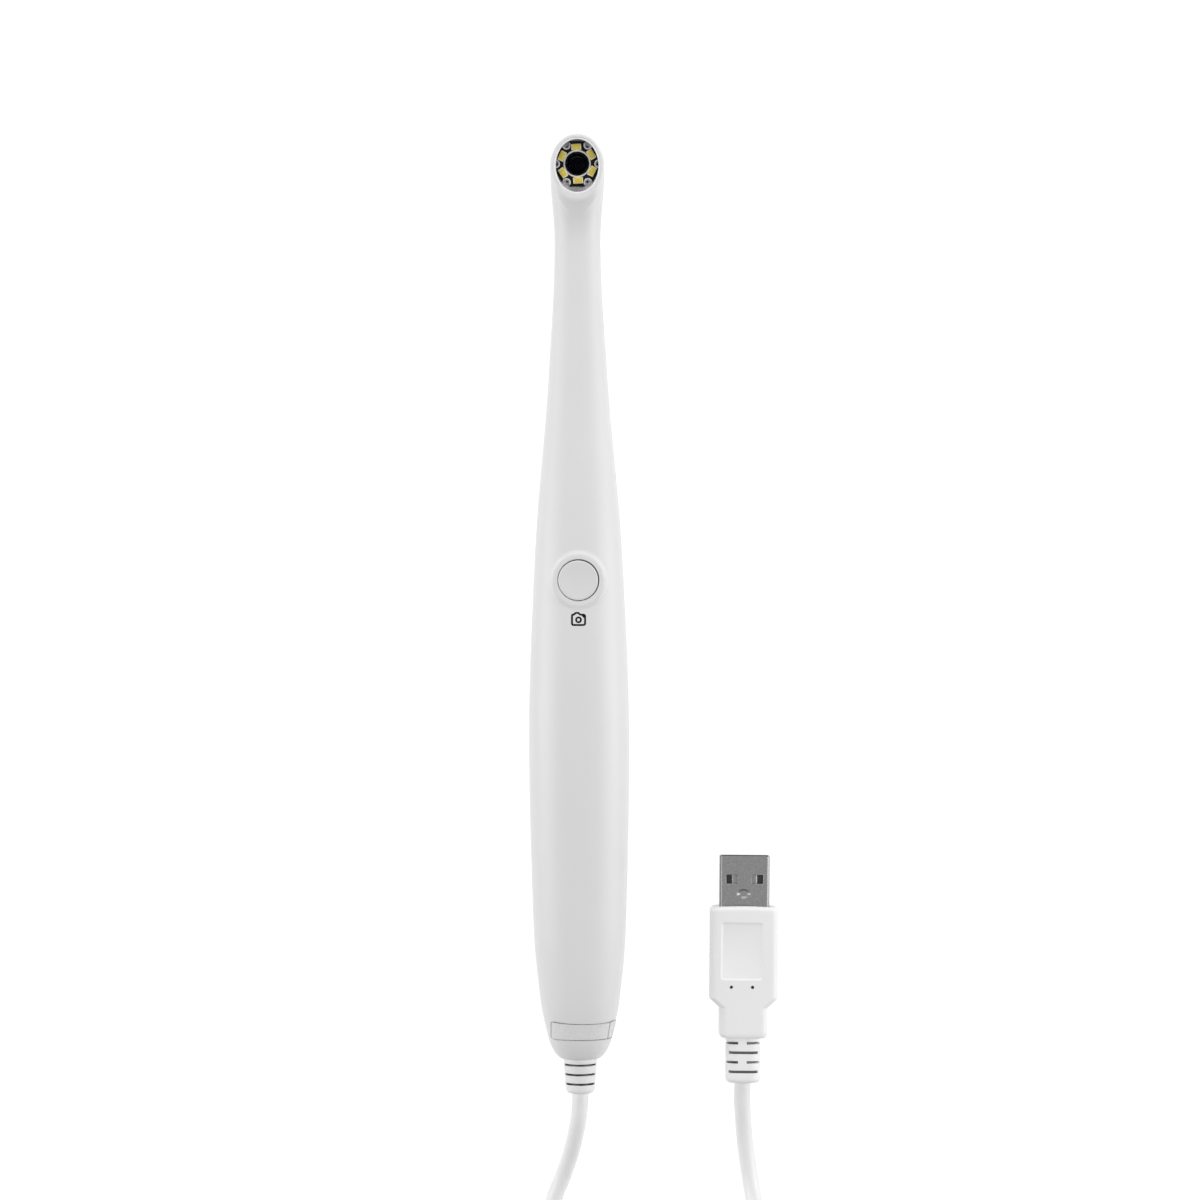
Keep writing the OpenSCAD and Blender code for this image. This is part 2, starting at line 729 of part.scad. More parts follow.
module button_cap() {
    dish_r = ((button_d / 2 - collar_round) ^ 2 + dish_depth ^ 2) / (2 * dish_depth);
    color([0.85, 0.85, 0.86]) at_button() rotate_extrude() difference() {
        union() {
            translate([0, flange_z - flange_t]) square([button_d / 2 + flange_w, flange_t]);
            translate([0, flange_z - flange_t])
                square([button_d / 2, cap_top - collar_round - flange_z + flange_t]);
            translate([0, cap_top - collar_round])
                square([button_d / 2 - collar_round, collar_round]);
            translate([button_d / 2 - collar_round, cap_top - collar_round]) circle(collar_round);
            translate([0, stem_z]) square([plunger_d / 2, cap_top - cap_roof / 2 - stem_z]);
        }
        translate([plunger_d / 2, flange_z - flange_t - past])
            square([button_d / 2 - cap_wall - plunger_d / 2,
                cap_top - cap_roof - flange_z + flange_t + past]);
        translate([0, cap_top + dish_r - dish_depth]) intersection() {
            circle(dish_r, $fn = 96);
            translate([0, -dish_r - past]) square([button_d, 2 * past]);
        }
    }
}
module board_screw(k) {
    t = post_places[k - 1];
    color(steel) translate([0, y_at(t), 0]) difference() {
        union() {
            rod_z(screw_d, back_z(t) + 2 * wall + screw_short, board_top);
            rod_z(screw_head_d, board_top, board_top + screw_head_t);
        }
        for (turn = [0, 90]) translate([0, 0, board_top + screw_head_t]) rotate(turn)
            cube([screw_slot_l, screw_slot_w, screw_head_t], center = true);
    }
}

// The cord's wires end in a small connector at the tail end of the main board
wire_d = 0.8;
wire_pitch = 1.5;
wire_spread = 0.9;
housing_w = 6.4;
housing_h = 2.2;
socket_wall = 0.9;
housing_gap = 2 * fit;
socket_w = housing_w + 2 * (housing_gap + socket_wall);
socket_h = 3.6;
wire_z = board_top + socket_h / 2;
module wire_socket() {
    hole_w = housing_w + 2 * housing_gap;
    hole_h = housing_h + 2 * housing_gap;
    color([0.9, 0.88, 0.8]) difference() {
        block(-socket_w / 2, socket_w / 2, y_at(socket_to), y_at(socket_to - socket_l),
            board_top, board_top + socket_h);
        block(-hole_w / 2, hole_w / 2, y_at(socket_to) - past, y_at(socket_face),
            wire_z - hole_h / 2, wire_z + hole_h / 2);
    }
}
module wire_housing() {
    color([0.95, 0.95, 0.9])
        block(-housing_w / 2, housing_w / 2, y_at(housing_to), y_at(socket_face),
            wire_z - housing_h / 2, wire_z + housing_h / 2);
}

// A round tube swept along points. Its rings stand square to the path.
function unit(v) = v / norm(v);
function path_dir(p, i) = unit(p[min(i + 1, len(p) - 1)] - p[max(i - 1, 0)]);
function ring_at(p, i, r, sides) =
    let (d = i == 0 || i == len(p) - 1 ? [0, -1, 0] : path_dir(p, i),
         s = unit(cross(d, [0, 0, 1])), u = cross(s, d))
    [for (k = [0 : sides - 1]) p[i] + r * (cos(360 * k / sides) * s + sin(360 * k / sides) * u)];
module swept_tube(p, d, sides) {
    n = len(p);
    points = [for (i = [0 : n - 1]) each ring_at(p, i, d / 2, sides)];
    walls = [for (i = [0 : n - 2], k = [0 : sides - 1])
        let (a = i * sides + k, b = i * sides + (k + 1) % sides) each
        [[a, b, b + sides], [a, b + sides, a + sides]]];
    polyhedron(points, concat(walls,
        [[for (k = [sides - 1 : -1 : 0]) k], [for (k = [0 : sides - 1]) (n - 1) * sides + k]]));
}
wire_colors = [[0.7, 0.1, 0.1], [0.9, 0.9, 0.9], [0.1, 0.5, 0.2], [0.1, 0.1, 0.1]];
module wire(k) {
    x = (k - 2.5) * wire_pitch;
    end_x = (k - 2.5) * wire_spread;
    from = y_at(housing_to);
    to = y_at(root_from);
    straight = 2;
    color(wire_colors[k - 1])
        swept_tube([[x, from, wire_z], [x, from - straight, wire_z],
            [end_x, to + straight, tail_z], [end_x, to, tail_z]], wire_d, 6);
}

relief_round = 1.2;
relief_core_w = 0.7;
relief_slot_share = 0.95;
// Half height of the webs that join the ribs between two slots
relief_web_h = 1.3;
module strain_relief() {
    out_y = y_at(body_len);
    color(white) translate([0, 0, tail_z]) difference() {
        union() {
            translate([0, out_y, 0]) rotate([90, 0, 0]) rotate_extrude() {
                polygon([[0, 0], [relief_d / 2, 0], [relief_end_d / 2, relief_len - relief_round],
                    [0, relief_len - relief_round]]);
                translate([0, relief_len - relief_round])
                    square([relief_end_d / 2 - relief_round, relief_round]);
                translate([relief_end_d / 2 - relief_round, relief_len - relief_round])
                    circle(relief_round);
            }
            rod_y(relief_neck_d, out_y, y_at(relief_face));
            rod_y(relief_flange_d, y_at(relief_face), y_at(flange_from));
        }
        rod_y(cord_d, relief_end_y - past, y_at(flange_from) + past);
        for (k = [0 : 2]) relief_slots(out_y - relief_slot_from - k * relief_pitch);
    }
}
// A slot over the top and one under the bottom, which leave the core around the cord and two webs
module relief_slots(y) {
    core_r = cord_d / 2 + relief_core_w;
    for (z = [-1, 1]) difference() {
        translate([0, y, z * (relief_web_h + relief_d) / 2])
            cube([relief_d * relief_slot_share, relief_slot, relief_d - relief_web_h], center = true);
        rod_y(2 * core_r, y - relief_slot, y + relief_slot);
    }
}
module cord_root() {
    color(white) translate([0, 0, tail_z]) rod_y(cord_d, relief_end_y, y_at(root_from));
}
label_turns = [1, 11];
module tail_label() {
    places = [label_from, (label_from + label_to) / 2, label_to];
    m = label_turns[1] - label_turns[0] + 1;
    n = len(places);
    low = [for (t = places, j = [label_turns[0] : label_turns[1]]) skin(t, 180 * j / turns, 0)];
    high = [for (t = places, j = [label_turns[0] : label_turns[1]])
        skin(t, 180 * j / turns, -label_t)];
    top = n * m;
    quads = concat(
        [for (i = [0 : n - 2], j = [0 : m - 2])
            [i * m + j, i * m + j + 1, (i + 1) * m + j + 1, (i + 1) * m + j]],
        [for (i = [0 : n - 2], j = [0 : m - 2])
            [top + i * m + j, top + (i + 1) * m + j, top + (i + 1) * m + j + 1, top + i * m + j + 1]],
        [for (i = [0 : n - 2]) [i * m, (i + 1) * m, top + (i + 1) * m, top + i * m]],
        [for (i = [0 : n - 2])
            [i * m + m - 1, top + i * m + m - 1, top + (i + 1) * m + m - 1, (i + 1) * m + m - 1]],
        [for (j = [0 : m - 2]) [j, top + j, top + j + 1, j + 1]],
        [for (j = [0 : m - 2])
            [(n - 1) * m + j, (n - 1) * m + j + 1, top + (n - 1) * m + j + 1, top + (n - 1) * m + j]]
    );
    color([0.8, 0.8, 0.8, 0.6])
        polyhedron(concat(low, high), [for (q = quads) each [[q[0], q[1], q[2]], [q[0], q[2], q[3]]]]);
}

// The cord leaves the strain relief, comes down to the surface and runs into the coil. From
// the coil's top it comes down again and runs back up to the plug.
coil_place = [16, -176];
lead_route = [[-0.1, -118, 9.8], [-0.5, -121.5, 9.3], [-1.1, -125, 8.2], [-2, -129, 6.5],
    [-3.2, -133, 4.7], [-4.6, -137, 3.3], [-6.2, -141, 2.6], [-8, -147, 2.4],
    [-10, -154, 2.4], [-11.6, -161, 2.4], [-12.2, -166, 2.4]];
plug_route = [[44.2, -166, 14.1], [44.1, -161, 12.8], [43.8, -155, 10], [43.2, -150, 7],
    [42.4, -145, 4.3], [41.5, -140, 2.6], [40.6, -134, 2], [39.8, -128, 2.2],
    [39.3, -122, 3.1], [39.1, -118, 3.8]];
module cord_lead() {
    color(white) swept_tube(concat([[0, relief_end_y, tail_z]], lead_route), cord_d, 8);
}
module cord_plug_lead() {
    reach = grip_l + waist_l + boot_l;
    boot_end = [plug_x + reach * sin(plug_turn), plug_y - reach * cos(plug_turn), plug_z];
    color(white)
        swept_tube([for (i = [len(plug_route) : -1 : 0])
            i == len(plug_route) ? boot_end : plug_route[i]], cord_d, 8);
}
coil_round = 2;
module cord_coil() {
    color(white) translate([coil_place.x, coil_place.y, tie_t]) rotate_extrude()
        translate([coil_r, coil_h / 2]) rounded_rect(coil_w, coil_h, coil_round);
}
module coil_tie() {
    inner_r = sqrt((coil_r - coil_w / 2) ^ 2 - (tie_w / 2) ^ 2) - fit;
    outer_r = coil_r + coil_w / 2 + fit;
    color([0.15, 0.15, 0.15]) translate([coil_place.x, coil_place.y, 0]) rotate([90, 0, -90])
        translate([0, 0, -tie_w / 2]) linear_extrude(tie_w) difference() {
            translate([inner_r - tie_t, 0])
                square([outer_r - inner_r + 2 * tie_t, coil_h + 2 * tie_t + fit]);
            translate([inner_r, tie_t - fit]) square([outer_r - inner_r, coil_h + 2 * fit]);
        }
}

// The plug lies beside the handpiece, its grip on the surface, turned a little to the right
plug_x = 39.7;
plug_y = -70.7;
plug_turn = -0.7;
plug_z = grip_h / 2;
// Length of the metal shell inside the grip
shell_back = 6;
shell_corner = 0.6;
grip_corner = 1.6;
plan_corner = 1.2;
panel_depth = 0.25;
panel_corner = 0.7;
// Distance of the panel's centre, of the two dots and of the first groove from the front face
panel_from = 11.3;
dots_from = 19.6;
grooves_from = 6.4;
dot_d = 0.8;
dot_x = [-2.6, 2.5];
groove_d = 0.5;
groove_pitch = 1;
grooves = 6;
boot_rows = 4;
boot_rows_from = 1.15;
boot_core_w = 0.5;
module at_plug() {
    translate([plug_x, plug_y, plug_z]) rotate(plug_turn) children();
}
module plug_overmould() {
    waist_to = -grip_l - waist_l;
    color(white) at_plug() difference() {
        union() {
            intersection() {
                bar_y(waist_to, 0, grip_w, grip_h, grip_corner);
                translate([0, 0, -grip_h]) linear_extrude(2 * grip_h) grip_plan();
            }
            bar_y(waist_to - boot_l, waist_to, boot_w, boot_h, grip_corner);
        }
        bar_y(-shell_back, past, usb_w, usb_h, shell_corner);
        translate([0, -panel_from, grip_h / 2 - panel_depth]) linear_extrude(panel_depth + past)
            rounded_rect(panel_w, panel_l, panel_corner);
        for (x = dot_x) translate([x, -dots_from, 0]) rod_z(dot_d, grip_h / 2 - dot_d, grip_h);
        for (x = [-1, 1], k = [0 : grooves - 1])
            translate([x * grip_w / 2, -grooves_from - k * groove_pitch, 0])
                rod_z(groove_d, -grip_h, grip_h);
        for (k = [0 : boot_rows - 1]) boot_slots(waist_to - boot_rows_from - k * boot_pitch, k % 2);
    }
}
module grip_plan() {
    r = plan_corner;
    half = grip_w / 2;
    waist = waist_w / 2;
    flat = grip_l - grip_taper;
    for (x = [-1, 1]) {
        translate([x * (half - r), -r]) circle(r);
        translate([x * (waist - r), -grip_l - waist_l + r]) circle(r);
    }
    square_from([-half + r, -r], [half - r, 0]);
    polygon([[-half, -r], [half, -r], [half, -flat], [waist, -grip_l], [-waist, -grip_l],
        [-half, -flat]]);
    square_from([-waist, -grip_l - waist_l + r], [waist, -grip_l]);
    square_from([-waist + r, -grip_l - waist_l], [waist - r, -grip_l]);
}
module square_from(low, high) {
    translate(low) square(high - low);
}
// A row of slots across the top and the bottom of the boot: one wide slot, or one at each side
module boot_slots(y, wide) {
    core_r = cord_d / 2 + boot_core_w;
    depth = boot_h / 2;
    wide_w = boot_w * 0.84;
    side_w = boot_w * 0.4;
    for (z = [-1, 1]) difference() {
        if (wide == 1)
            translate([0, y, z * boot_h / 2]) cube([wide_w, boot_slot, depth], center = true);
        else
            for (x = [-1, 1]) translate([x * wide_w / 2, y, z * boot_h / 2])
                cube([side_w, boot_slot, depth], center = true);
        rod_y(2 * core_r, y - boot_slot, y + boot_slot);
    }
}
shell_hole_x = 3.1;
shell_hole_from = 5.6;
shell_hole_w = 2.6;
shell_hole_l = 2.1;
module plug_shell() {
    color(steel) at_plug() difference() {
        bar_y(-shell_back, usb_l, usb_w, usb_h, shell_corner);
        bar_y(-shell_back - past, usb_l + past, usb_w - 2 * usb_t, usb_h - 2 * usb_t,
            shell_corner - usb_t);
        for (x = [-1, 1]) translate([x * shell_hole_x, usb_l - shell_hole_from, 0])
            cube([shell_hole_w, shell_hole_l, 2 * usb_h], center = true);
    }
}
// The tongue lies on the bottom of the shell, and the contacts lie in its top
tongue_t = 1.9;
tongue_w = usb_w - 2 * usb_t - 0.6;
tongue_back = 0.6;
tongue_z = -usb_h / 2 + usb_t + tongue_t;
module plug_insulator() {
    color([0.15, 0.15, 0.16]) at_plug() difference() {
        translate([0, 0, tongue_z - tongue_t]) linear_extrude(tongue_t)
            square_from([-tongue_w / 2, -shell_back], [tongue_w / 2, usb_l - tongue_back]);
        for (k = [1 : 4]) translate([contact_x(k), 0, tongue_z - contact_t])
            linear_extrude(contact_t + past) square_from([-contact_w / 2, -shell_back - past],
                [contact_w / 2, contact_to(k)]);
    }
}
contact_w = 1;
contact_t = 0.2;
function contact_x(k) = [-3.5, -1, 1, 3.5][k - 1];
function contact_to(k) = usb_l - (k == 1 || k == 4 ? 2 : 3);
module contact(k) {
    color(gold) at_plug() translate([contact_x(k), 0, tongue_z - contact_t])
        linear_extrude(contact_t) square_from([-contact_w / 2, -shell_back],
            [contact_w / 2, contact_to(k)]);
}

front_shell();
rear_shell();
head_window();
carrier_plate();
led_board();
led(1);  // led_1
led(2);  // led_2
led(3);  // led_3
led(4);  // led_4
led(5);  // led_5
led(6);  // led_6
lens_ring();
lens_barrel();
front_lens();
rear_lens();
ir_filter();
lens_holder();
image_sensor();
sensor_board();
head_flex();
flex_socket();
main_board();
image_processor();
memory_chip();
crystal();
switch_body();
switch_plunger();
button_cap();
board_screw(1);  // board_screw_1
board_screw(2);  // board_screw_2
wire_socket();
wire_housing();
wire(1);  // wire_1
wire(2);  // wire_2
wire(3);  // wire_3
wire(4);  // wire_4
strain_relief();
cord_root();
tail_label();
cord_lead();
cord_coil();
coil_tie();
cord_plug_lead();
plug_overmould();
plug_shell();
plug_insulator();
contact(1);  // contact_1
contact(2);  // contact_2
contact(3);  // contact_3
contact(4);  // contact_4
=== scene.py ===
# Dresses the intraoral camera: housing, lens window, button, label, cord and plug
from math import acos, asin, atan, atan2, ceil, cos, hypot, pi, radians, sin, sqrt

import bmesh
import bpy
import numpy as np
from mathutils import Matrix, Vector


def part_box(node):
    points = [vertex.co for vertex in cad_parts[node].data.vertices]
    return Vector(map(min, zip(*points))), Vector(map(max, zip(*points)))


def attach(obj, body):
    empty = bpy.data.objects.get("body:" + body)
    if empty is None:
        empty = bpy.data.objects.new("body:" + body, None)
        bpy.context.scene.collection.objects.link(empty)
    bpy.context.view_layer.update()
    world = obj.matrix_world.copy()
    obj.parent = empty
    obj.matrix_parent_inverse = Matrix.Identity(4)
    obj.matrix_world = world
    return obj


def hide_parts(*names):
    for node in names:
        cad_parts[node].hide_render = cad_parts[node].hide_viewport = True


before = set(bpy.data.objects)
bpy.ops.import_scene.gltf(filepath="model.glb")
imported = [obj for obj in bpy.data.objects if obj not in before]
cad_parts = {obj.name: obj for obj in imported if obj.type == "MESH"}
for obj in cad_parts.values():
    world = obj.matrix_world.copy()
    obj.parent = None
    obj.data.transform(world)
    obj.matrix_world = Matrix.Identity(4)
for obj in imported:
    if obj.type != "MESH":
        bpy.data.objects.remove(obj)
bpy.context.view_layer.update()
scene = bpy.context.scene
mm = 0.001


def span(node):  # lowest and highest corner of a CAD node, in mm
    low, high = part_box(node)
    return low / mm, high / mm


def middle(node):
    low, high = span(node)
    return (low + high) / 2


# Node trees, for materials and for geometry

class Graph:  # a node tree, filled by one method
    def __init__(self, tree):
        self.tree = tree

    def feed(self, socket, value):
        if isinstance(value, Wire):
            self.tree.links.new(value.socket, socket)
        else:
            socket.default_value = value

    def node(self, kind, settings=None, sockets=None, out=0):
        made = self.tree.nodes.new(kind)
        for name, value in (settings or {}).items():
            if name == "stops":
                ramp = made.color_ramp.elements
                while len(ramp) < len(value):
                    ramp.new(0.5)
                for stop, (place, shade) in zip(ramp, value):
                    stop.position = place
                    stop.color = (shade, shade, shade, 1)
            else:
                setattr(made, name, value)
        for key, value in (sockets or {}).items():
            self.feed(made.inputs[key], value)
        return Wire(self, made.outputs[out]) if made.outputs else made


class Wire:  # a socket that takes part in sums
    def __init__(self, graph, socket):
        self.graph = graph
        self.socket = socket

    def math(self, operation, *values):
        return self.graph.node("ShaderNodeMath", {"operation": operation}, dict(enumerate(values)))

    def __add__(self, other):
        return self.math("ADD", self, other)

    def __sub__(self, other):
        return self.math("SUBTRACT", self, other)

    def __mul__(self, other):
        return self.math("MULTIPLY", self, other)

    def __truediv__(self, other):
        return self.math("DIVIDE", self, other)

    def __radd__(self, other):
        return self.math("ADD", other, self)

    def __rsub__(self, other):
        return self.math("SUBTRACT", other, self)

    def __rmul__(self, other):
        return self.math("MULTIPLY", other, self)

    def __gt__(self, other):
        return self.math("GREATER_THAN", self, other)

    def __lt__(self, other):
        return self.math("LESS_THAN", self, other)

    def __abs__(self):
        return self.math("ABSOLUTE", self)


def mixColour(graph, share, first, second):
    settings = {"data_type": "RGBA", "clamp_factor": True}
    return graph.node("ShaderNodeMix", settings, {0: share, 6: first, 7: second}, out=2)


def grey(value, warmth=0.0):
    return (value * (1 + warmth), value, value * (1 - warmth), 1)


def noise(graph, place, size, detail=2.0, roughness=0.5):  # size of a grain in mm
    sockets = {"Vector": place, "Scale": 1 / (size * mm), "Detail": detail, "Roughness": roughness}
    return graph.node("ShaderNodeTexNoise", {}, sockets)


def objectPlace(graph):
    return graph.node("ShaderNodeTexCoord", {}, {}, out="Object")


def stretched(graph, place, scale, turn=0.0):
    sockets = {"Vector": place, "Scale": scale, "Rotation": (0, 0, turn)}
    return graph.node("ShaderNodeMapping", {}, sockets)


def attribute(graph, name):
    return graph.node("ShaderNodeAttribute", {"attribute_name": name}, {}, out="Fac")


def ramp(graph, low, high, value):  # 0 up to the first place, 1 from the second
    return graph.node("ShaderNodeValToRGB", {"stops": [(low, 0), (high, 1)]}, {"Fac": value})


def bumped(graph, strength, distance, height):  # distance in mm
    return graph.node("ShaderNodeBump", {}, {
        "Strength": strength, "Distance": distance * mm, "Height": height})


def facingAway(graph):
    return graph.node("ShaderNodeLayerWeight", {}, {"Blend": 0.5}, out="Facing")


def scaled(colour, factor, most=2.0):
    return tuple(min(most, c * factor) for c in colour[:3]) + (1,)


def material(name, fixed, surface=None):
    made = bpy.data.materials.new(name)
    made.use_nodes = True
    graph = Graph(made.node_tree)
    shader = made.node_tree.nodes["Principled BSDF"]
    for socket, value in fixed.items():
        shader.inputs[socket].default_value = value
    if surface:
        for socket, wire in surface(graph).items():
            graph.feed(shader.inputs[socket], wire)
    return made


def moulded(name, colour, rough, grain=0.14, bump=0.12, spread=0.02, fixed=None, deep=None):
    # Moulded or coated surface: a fine grain, slow changes of tone and of gloss, and painted shade
    # that darkens slots and dots with their depth
    def surface(graph):
        place = objectPlace(graph)
        slow = noise(graph, place, 9, 3)
        fine = noise(graph, place, grain, 2)
        tone = mixColour(graph, slow * 0.7 + fine * 0.3, scaled(colour, 1 - spread),
                         scaled(colour, 1 + spread, 1))
        if deep:  # painted shade: slots and dots turn dark from 0.12 mm down
            tone = mixColour(graph, (attribute(graph, "deep") - 0.12) * 4, tone, deep)
        return {
            "Base Color": tone,
            "Roughness": rough + (slow - 0.5) * 0.08 + (fine - 0.5) * 0.05,
            "Normal": bumped(graph, bump, grain * 0.25, fine),
        }
    return material(name, fixed or {}, surface)


def brushed(name, colour, rough, across, metallic=1.0):
    # Drawn metal: streaks along one direction and a fine speckle
    def surface(graph):
        place = objectPlace(graph)
        lines = noise(graph, stretched(graph, place, across), 0.16, 3, 0.6)
        speck = noise(graph, place, 0.22, 2, 0.6)
        mask = lines * 0.45 + speck * 0.55
        share = ramp(graph, 0.34, 0.66, mask)
        return {
            "Base Color": mixColour(graph, share, scaled(colour, 0.72), scaled(colour, 1.28)),
            "Roughness": rough + (lines - 0.5) * 0.2,
            "Normal": bumped(graph, 0.2, 0.02, lines),
        }
    return material(name, {"Metallic": metallic}, surface)


def printedBoard(name, colour, rough):
    # Lacquered board: a faint weave of the glass cloth under the lacquer
    def surface(graph):
        place = objectPlace(graph)
        warp, weft = (graph.node("ShaderNodeTexWave", {"bands_direction": way}, {
            "Vector": place, "Scale": 500, "Distortion": 0.6}) for way in "XY")
        cloth = warp * 0.5 + weft * 0.5
        light = tuple(c * 1.5 + 0.004 for c in colour[:3]) + (1,)
        return {
            "Base Color": mixColour(graph, cloth * 0.4, colour, light),
            "Roughness": rough + (cloth - 0.5) * 0.1,
            "Normal": bumped(graph, 0.1, 0.01, cloth),
        }
    return material(name, {"Specular IOR Level": 0.12}, surface)


print("stage: materials")
look = {
    "housing": moulded("SatinWhiteHousing", grey(0.79), 0.4, fixed={"Specular IOR Level": 0.4}),
    "button": moulded("PaleGreyButton", grey(0.76), 0.42, grain=0.1, bump=0.15),
    # painted shade: the relief's slots and the grip's dots and slots darken with their depth
    "relief": moulded("SoftWhiteRelief", grey(0.88), 0.45, grain=0.2, bump=0.1,
                      deep=grey(0.008)),
    "cord": moulded("WhiteCordJacket", grey(0.9), 0.38, grain=0.5, bump=0.08),
    "grip": moulded("WhitePlugGrip", grey(0.95), 0.48, grain=0.16, bump=0.15, deep=grey(0.17)),
    "black": moulded("BlackPlastic", grey(0.012), 0.45, spread=0.3),
    "barrel": moulded("BlackBarrel", grey(0.003), 0.45, spread=0.3,
                      fixed={"Specular IOR Level": 0.06}),
    "print": moulded("WhitePrint", grey(0.96), 0.5, spread=0.01),
    "notch": moulded("PaleNotchRim", (0.95, 0.94, 0.97, 1), 0.45, spread=0.02),
    "natural": moulded("NaturalNylon", (0.75, 0.71, 0.6, 1), 0.45),
    "amber": moulded("AmberRibbon", (0.5, 0.24, 0.04, 1), 0.3),
    "boardBlack": printedBoard("BlackBoard", grey(0.003), 0.5),
    "boardGreen": printedBoard("GreenBoard", (0.015, 0.1, 0.04, 1), 0.35),
    "plate": brushed("PaleCarrierPlate", (0.88, 0.86, 0.91), 0.5, (1, 6, 1), metallic=0.0),
    "plugMetal": brushed("BrushedPlugShell", grey(0.23), 0.36, (1, 9, 9)),
    "gold": brushed("GoldContact", (0.8, 0.58, 0.22), 0.25, (9, 1, 9)),
    "screw": brushed("ZincScrew", grey(0.5), 0.3, (1, 1, 9)),
    "ledFrame": moulded("CreamLightFrame", (0.95, 0.88, 0.58, 1), 0.45, spread=0.06),
    "ink": moulded("BlackInk", grey(0.004), 0.5, spread=0.4, fixed={"Specular IOR Level": 0.1}),
}


def phosphorSurface(graph):
    place = objectPlace(graph)
    grain = noise(graph, place, 0.16, 3, 0.7)
    blotch = noise(graph, place, 0.5, 2)
    share = ramp(graph, 0.35, 0.65, grain * 0.6 + blotch * 0.4)
    return {
        "Base Color": mixColour(graph, share, (0.66, 0.48, 0.03, 1), (0.94, 0.77, 0.13, 1)),
        "Normal": bumped(graph, 0.3, 0.03, grain),
    }


def lensSurface(graph):  # the coating shines where the dome turns away
    smear = noise(graph, objectPlace(graph), 1.2, 3)
    edge = ramp(graph, 0.12, 0.2, facingAway(graph))
    return {"Roughness": 0.06 + smear * 0.06, "Coat Weight": edge * 0.8}


def glassSurface(graph):
    smear = noise(graph, objectPlace(graph), 1.2, 3)
    return {"Roughness": 0.06 + smear * 0.06}


def paneSurface(graph):
    smear = noise(graph, objectPlace(graph), 2.5, 3)
    facing = facingAway(graph)
    return {"Alpha": 0.004 + facing * facing * (0.08 + smear * 0.06)}


def strapSurface(graph):
    place = objectPlace(graph)
    ribs = graph.node("ShaderNodeTexWave", {"bands_direction": "DIAGONAL"}, {
        "Vector": place, "Scale": 420, "Distortion": 1.5})
    height = ribs * 0.5 + noise(graph, place, 0.3, 3, 0.7) * 0.5
    return {
        "Base Color": mixColour(graph, height, grey(0.008), grey(0.035)),
        "Normal": bumped(graph, 0.6, 0.15, height),
    }


look["phosphor"] = material("YellowPhosphor", {"Roughness": 0.42}, phosphorSurface)
look["lens"] = material("CoatedFrontLens", {
    "Base Color": (0.0008, 0.0008, 0.0015, 1), "Specular IOR Level": 0.02,
    "Specular Tint": (0.55, 0.65, 1, 1)}, lensSurface)
look["optics"] = material("InnerGlass", {
    "Base Color": (0.5, 0.62, 0.7, 1), "Transmission Weight": 0.8}, glassSurface)
look["pane"] = material("ClearPane", {
    "Base Color": grey(0.05), "Roughness": 0.05}, paneSurface)
look["strap"] = material("BlackTieStrap", {"Roughness": 0.85}, strapSurface)

wireColours = [(0.45, 0.02, 0.02, 1), grey(0.75), (0.02, 0.25, 0.05, 1), grey(0.01)]
for k, colour in enumerate(wireColours):
    look[f"wire{k + 1}"] = moulded(f"WireJacket{k + 1}", colour, 0.4)

nodeLooks = {  # the CAD nodes that stay, by their finish
    "pane": "head_window", "plate": "carrier_plate", "boardBlack": "led_board",
    "print": "lens_ring", "barrel": "lens_barrel", "optics": "rear_lens ir_filter",
    "black": "lens_holder image_sensor image_processor memory_chip switch_body switch_plunger "
             "plug_insulator",
    "boardGreen": "sensor_board main_board", "amber": "head_flex",
    "natural": "flex_socket wire_socket wire_housing",
    "screw": "crystal board_screw_1 board_screw_2",
    "wire1": "wire_1", "wire2": "wire_2", "wire3": "wire_3", "wire4": "wire_4",
    "cord": "cord_root", "gold": "contact_1 contact_2 contact_3 contact_4",
}
for name, nodes in nodeLooks.items():
    for node in nodes.split():
        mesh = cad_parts[node].data
        mesh.materials.clear()
        mesh.materials.append(look[name])


# Making meshes and pieces

def finished(name, mesh, material, nodes=(), body="camera", smooth=35):
    piece = bpy.data.objects.new(name, mesh)
    scene.collection.objects.link(piece)
    if material:
        mesh.materials.clear()
        mesh.materials.append(look[material])
    mesh.shade_smooth()
    mesh.set_sharp_from_angle(angle=radians(smooth))
    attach(piece, body)
    if nodes:
        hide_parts(*nodes)
    return piece


def meshOf(name, points, faces, merge=0.0):  # points in mm
    mesh = bpy.data.meshes.new(name)
    mesh.from_pydata([Vector(p) * mm for p in points], [], faces)
    form = bmesh.new()
    form.from_mesh(mesh)
    if merge:
        bmesh.ops.remove_doubles(form, verts=form.verts, dist=merge * mm)
    bmesh.ops.recalc_face_normals(form, faces=form.faces)
    form.to_mesh(mesh)
    form.free()
    return mesh


def joined(name, meshes):
    form = bmesh.new()
    for mesh in meshes:
        form.from_mesh(mesh)
    whole = bpy.data.meshes.new(name)
    form.to_mesh(whole)
    form.free()
    return whole


def stack(rings, closed=True, caps=True):  # rings of equal length, one skin through all
    n = len(rings[0])
    points = [p for ring in rings for p in ring]
    faces = []
    for i in range(len(rings) - 1):
        for j in range(n if closed else n - 1):
            k = (j + 1) % n
            faces.append((i * n + j, i * n + k, (i + 1) * n + k, (i + 1) * n + j))
    if caps:
        faces.append(tuple(range(n)))
        faces.append(tuple(range((len(rings) - 1) * n, len(rings) * n)))
    return points, faces


def circleRing(radius, z, centre=(0, 0), steps=128):
    return [(centre[0] + radius * cos(2 * pi * i / steps),
             centre[1] + radius * sin(2 * pi * i / steps), z) for i in range(steps)]


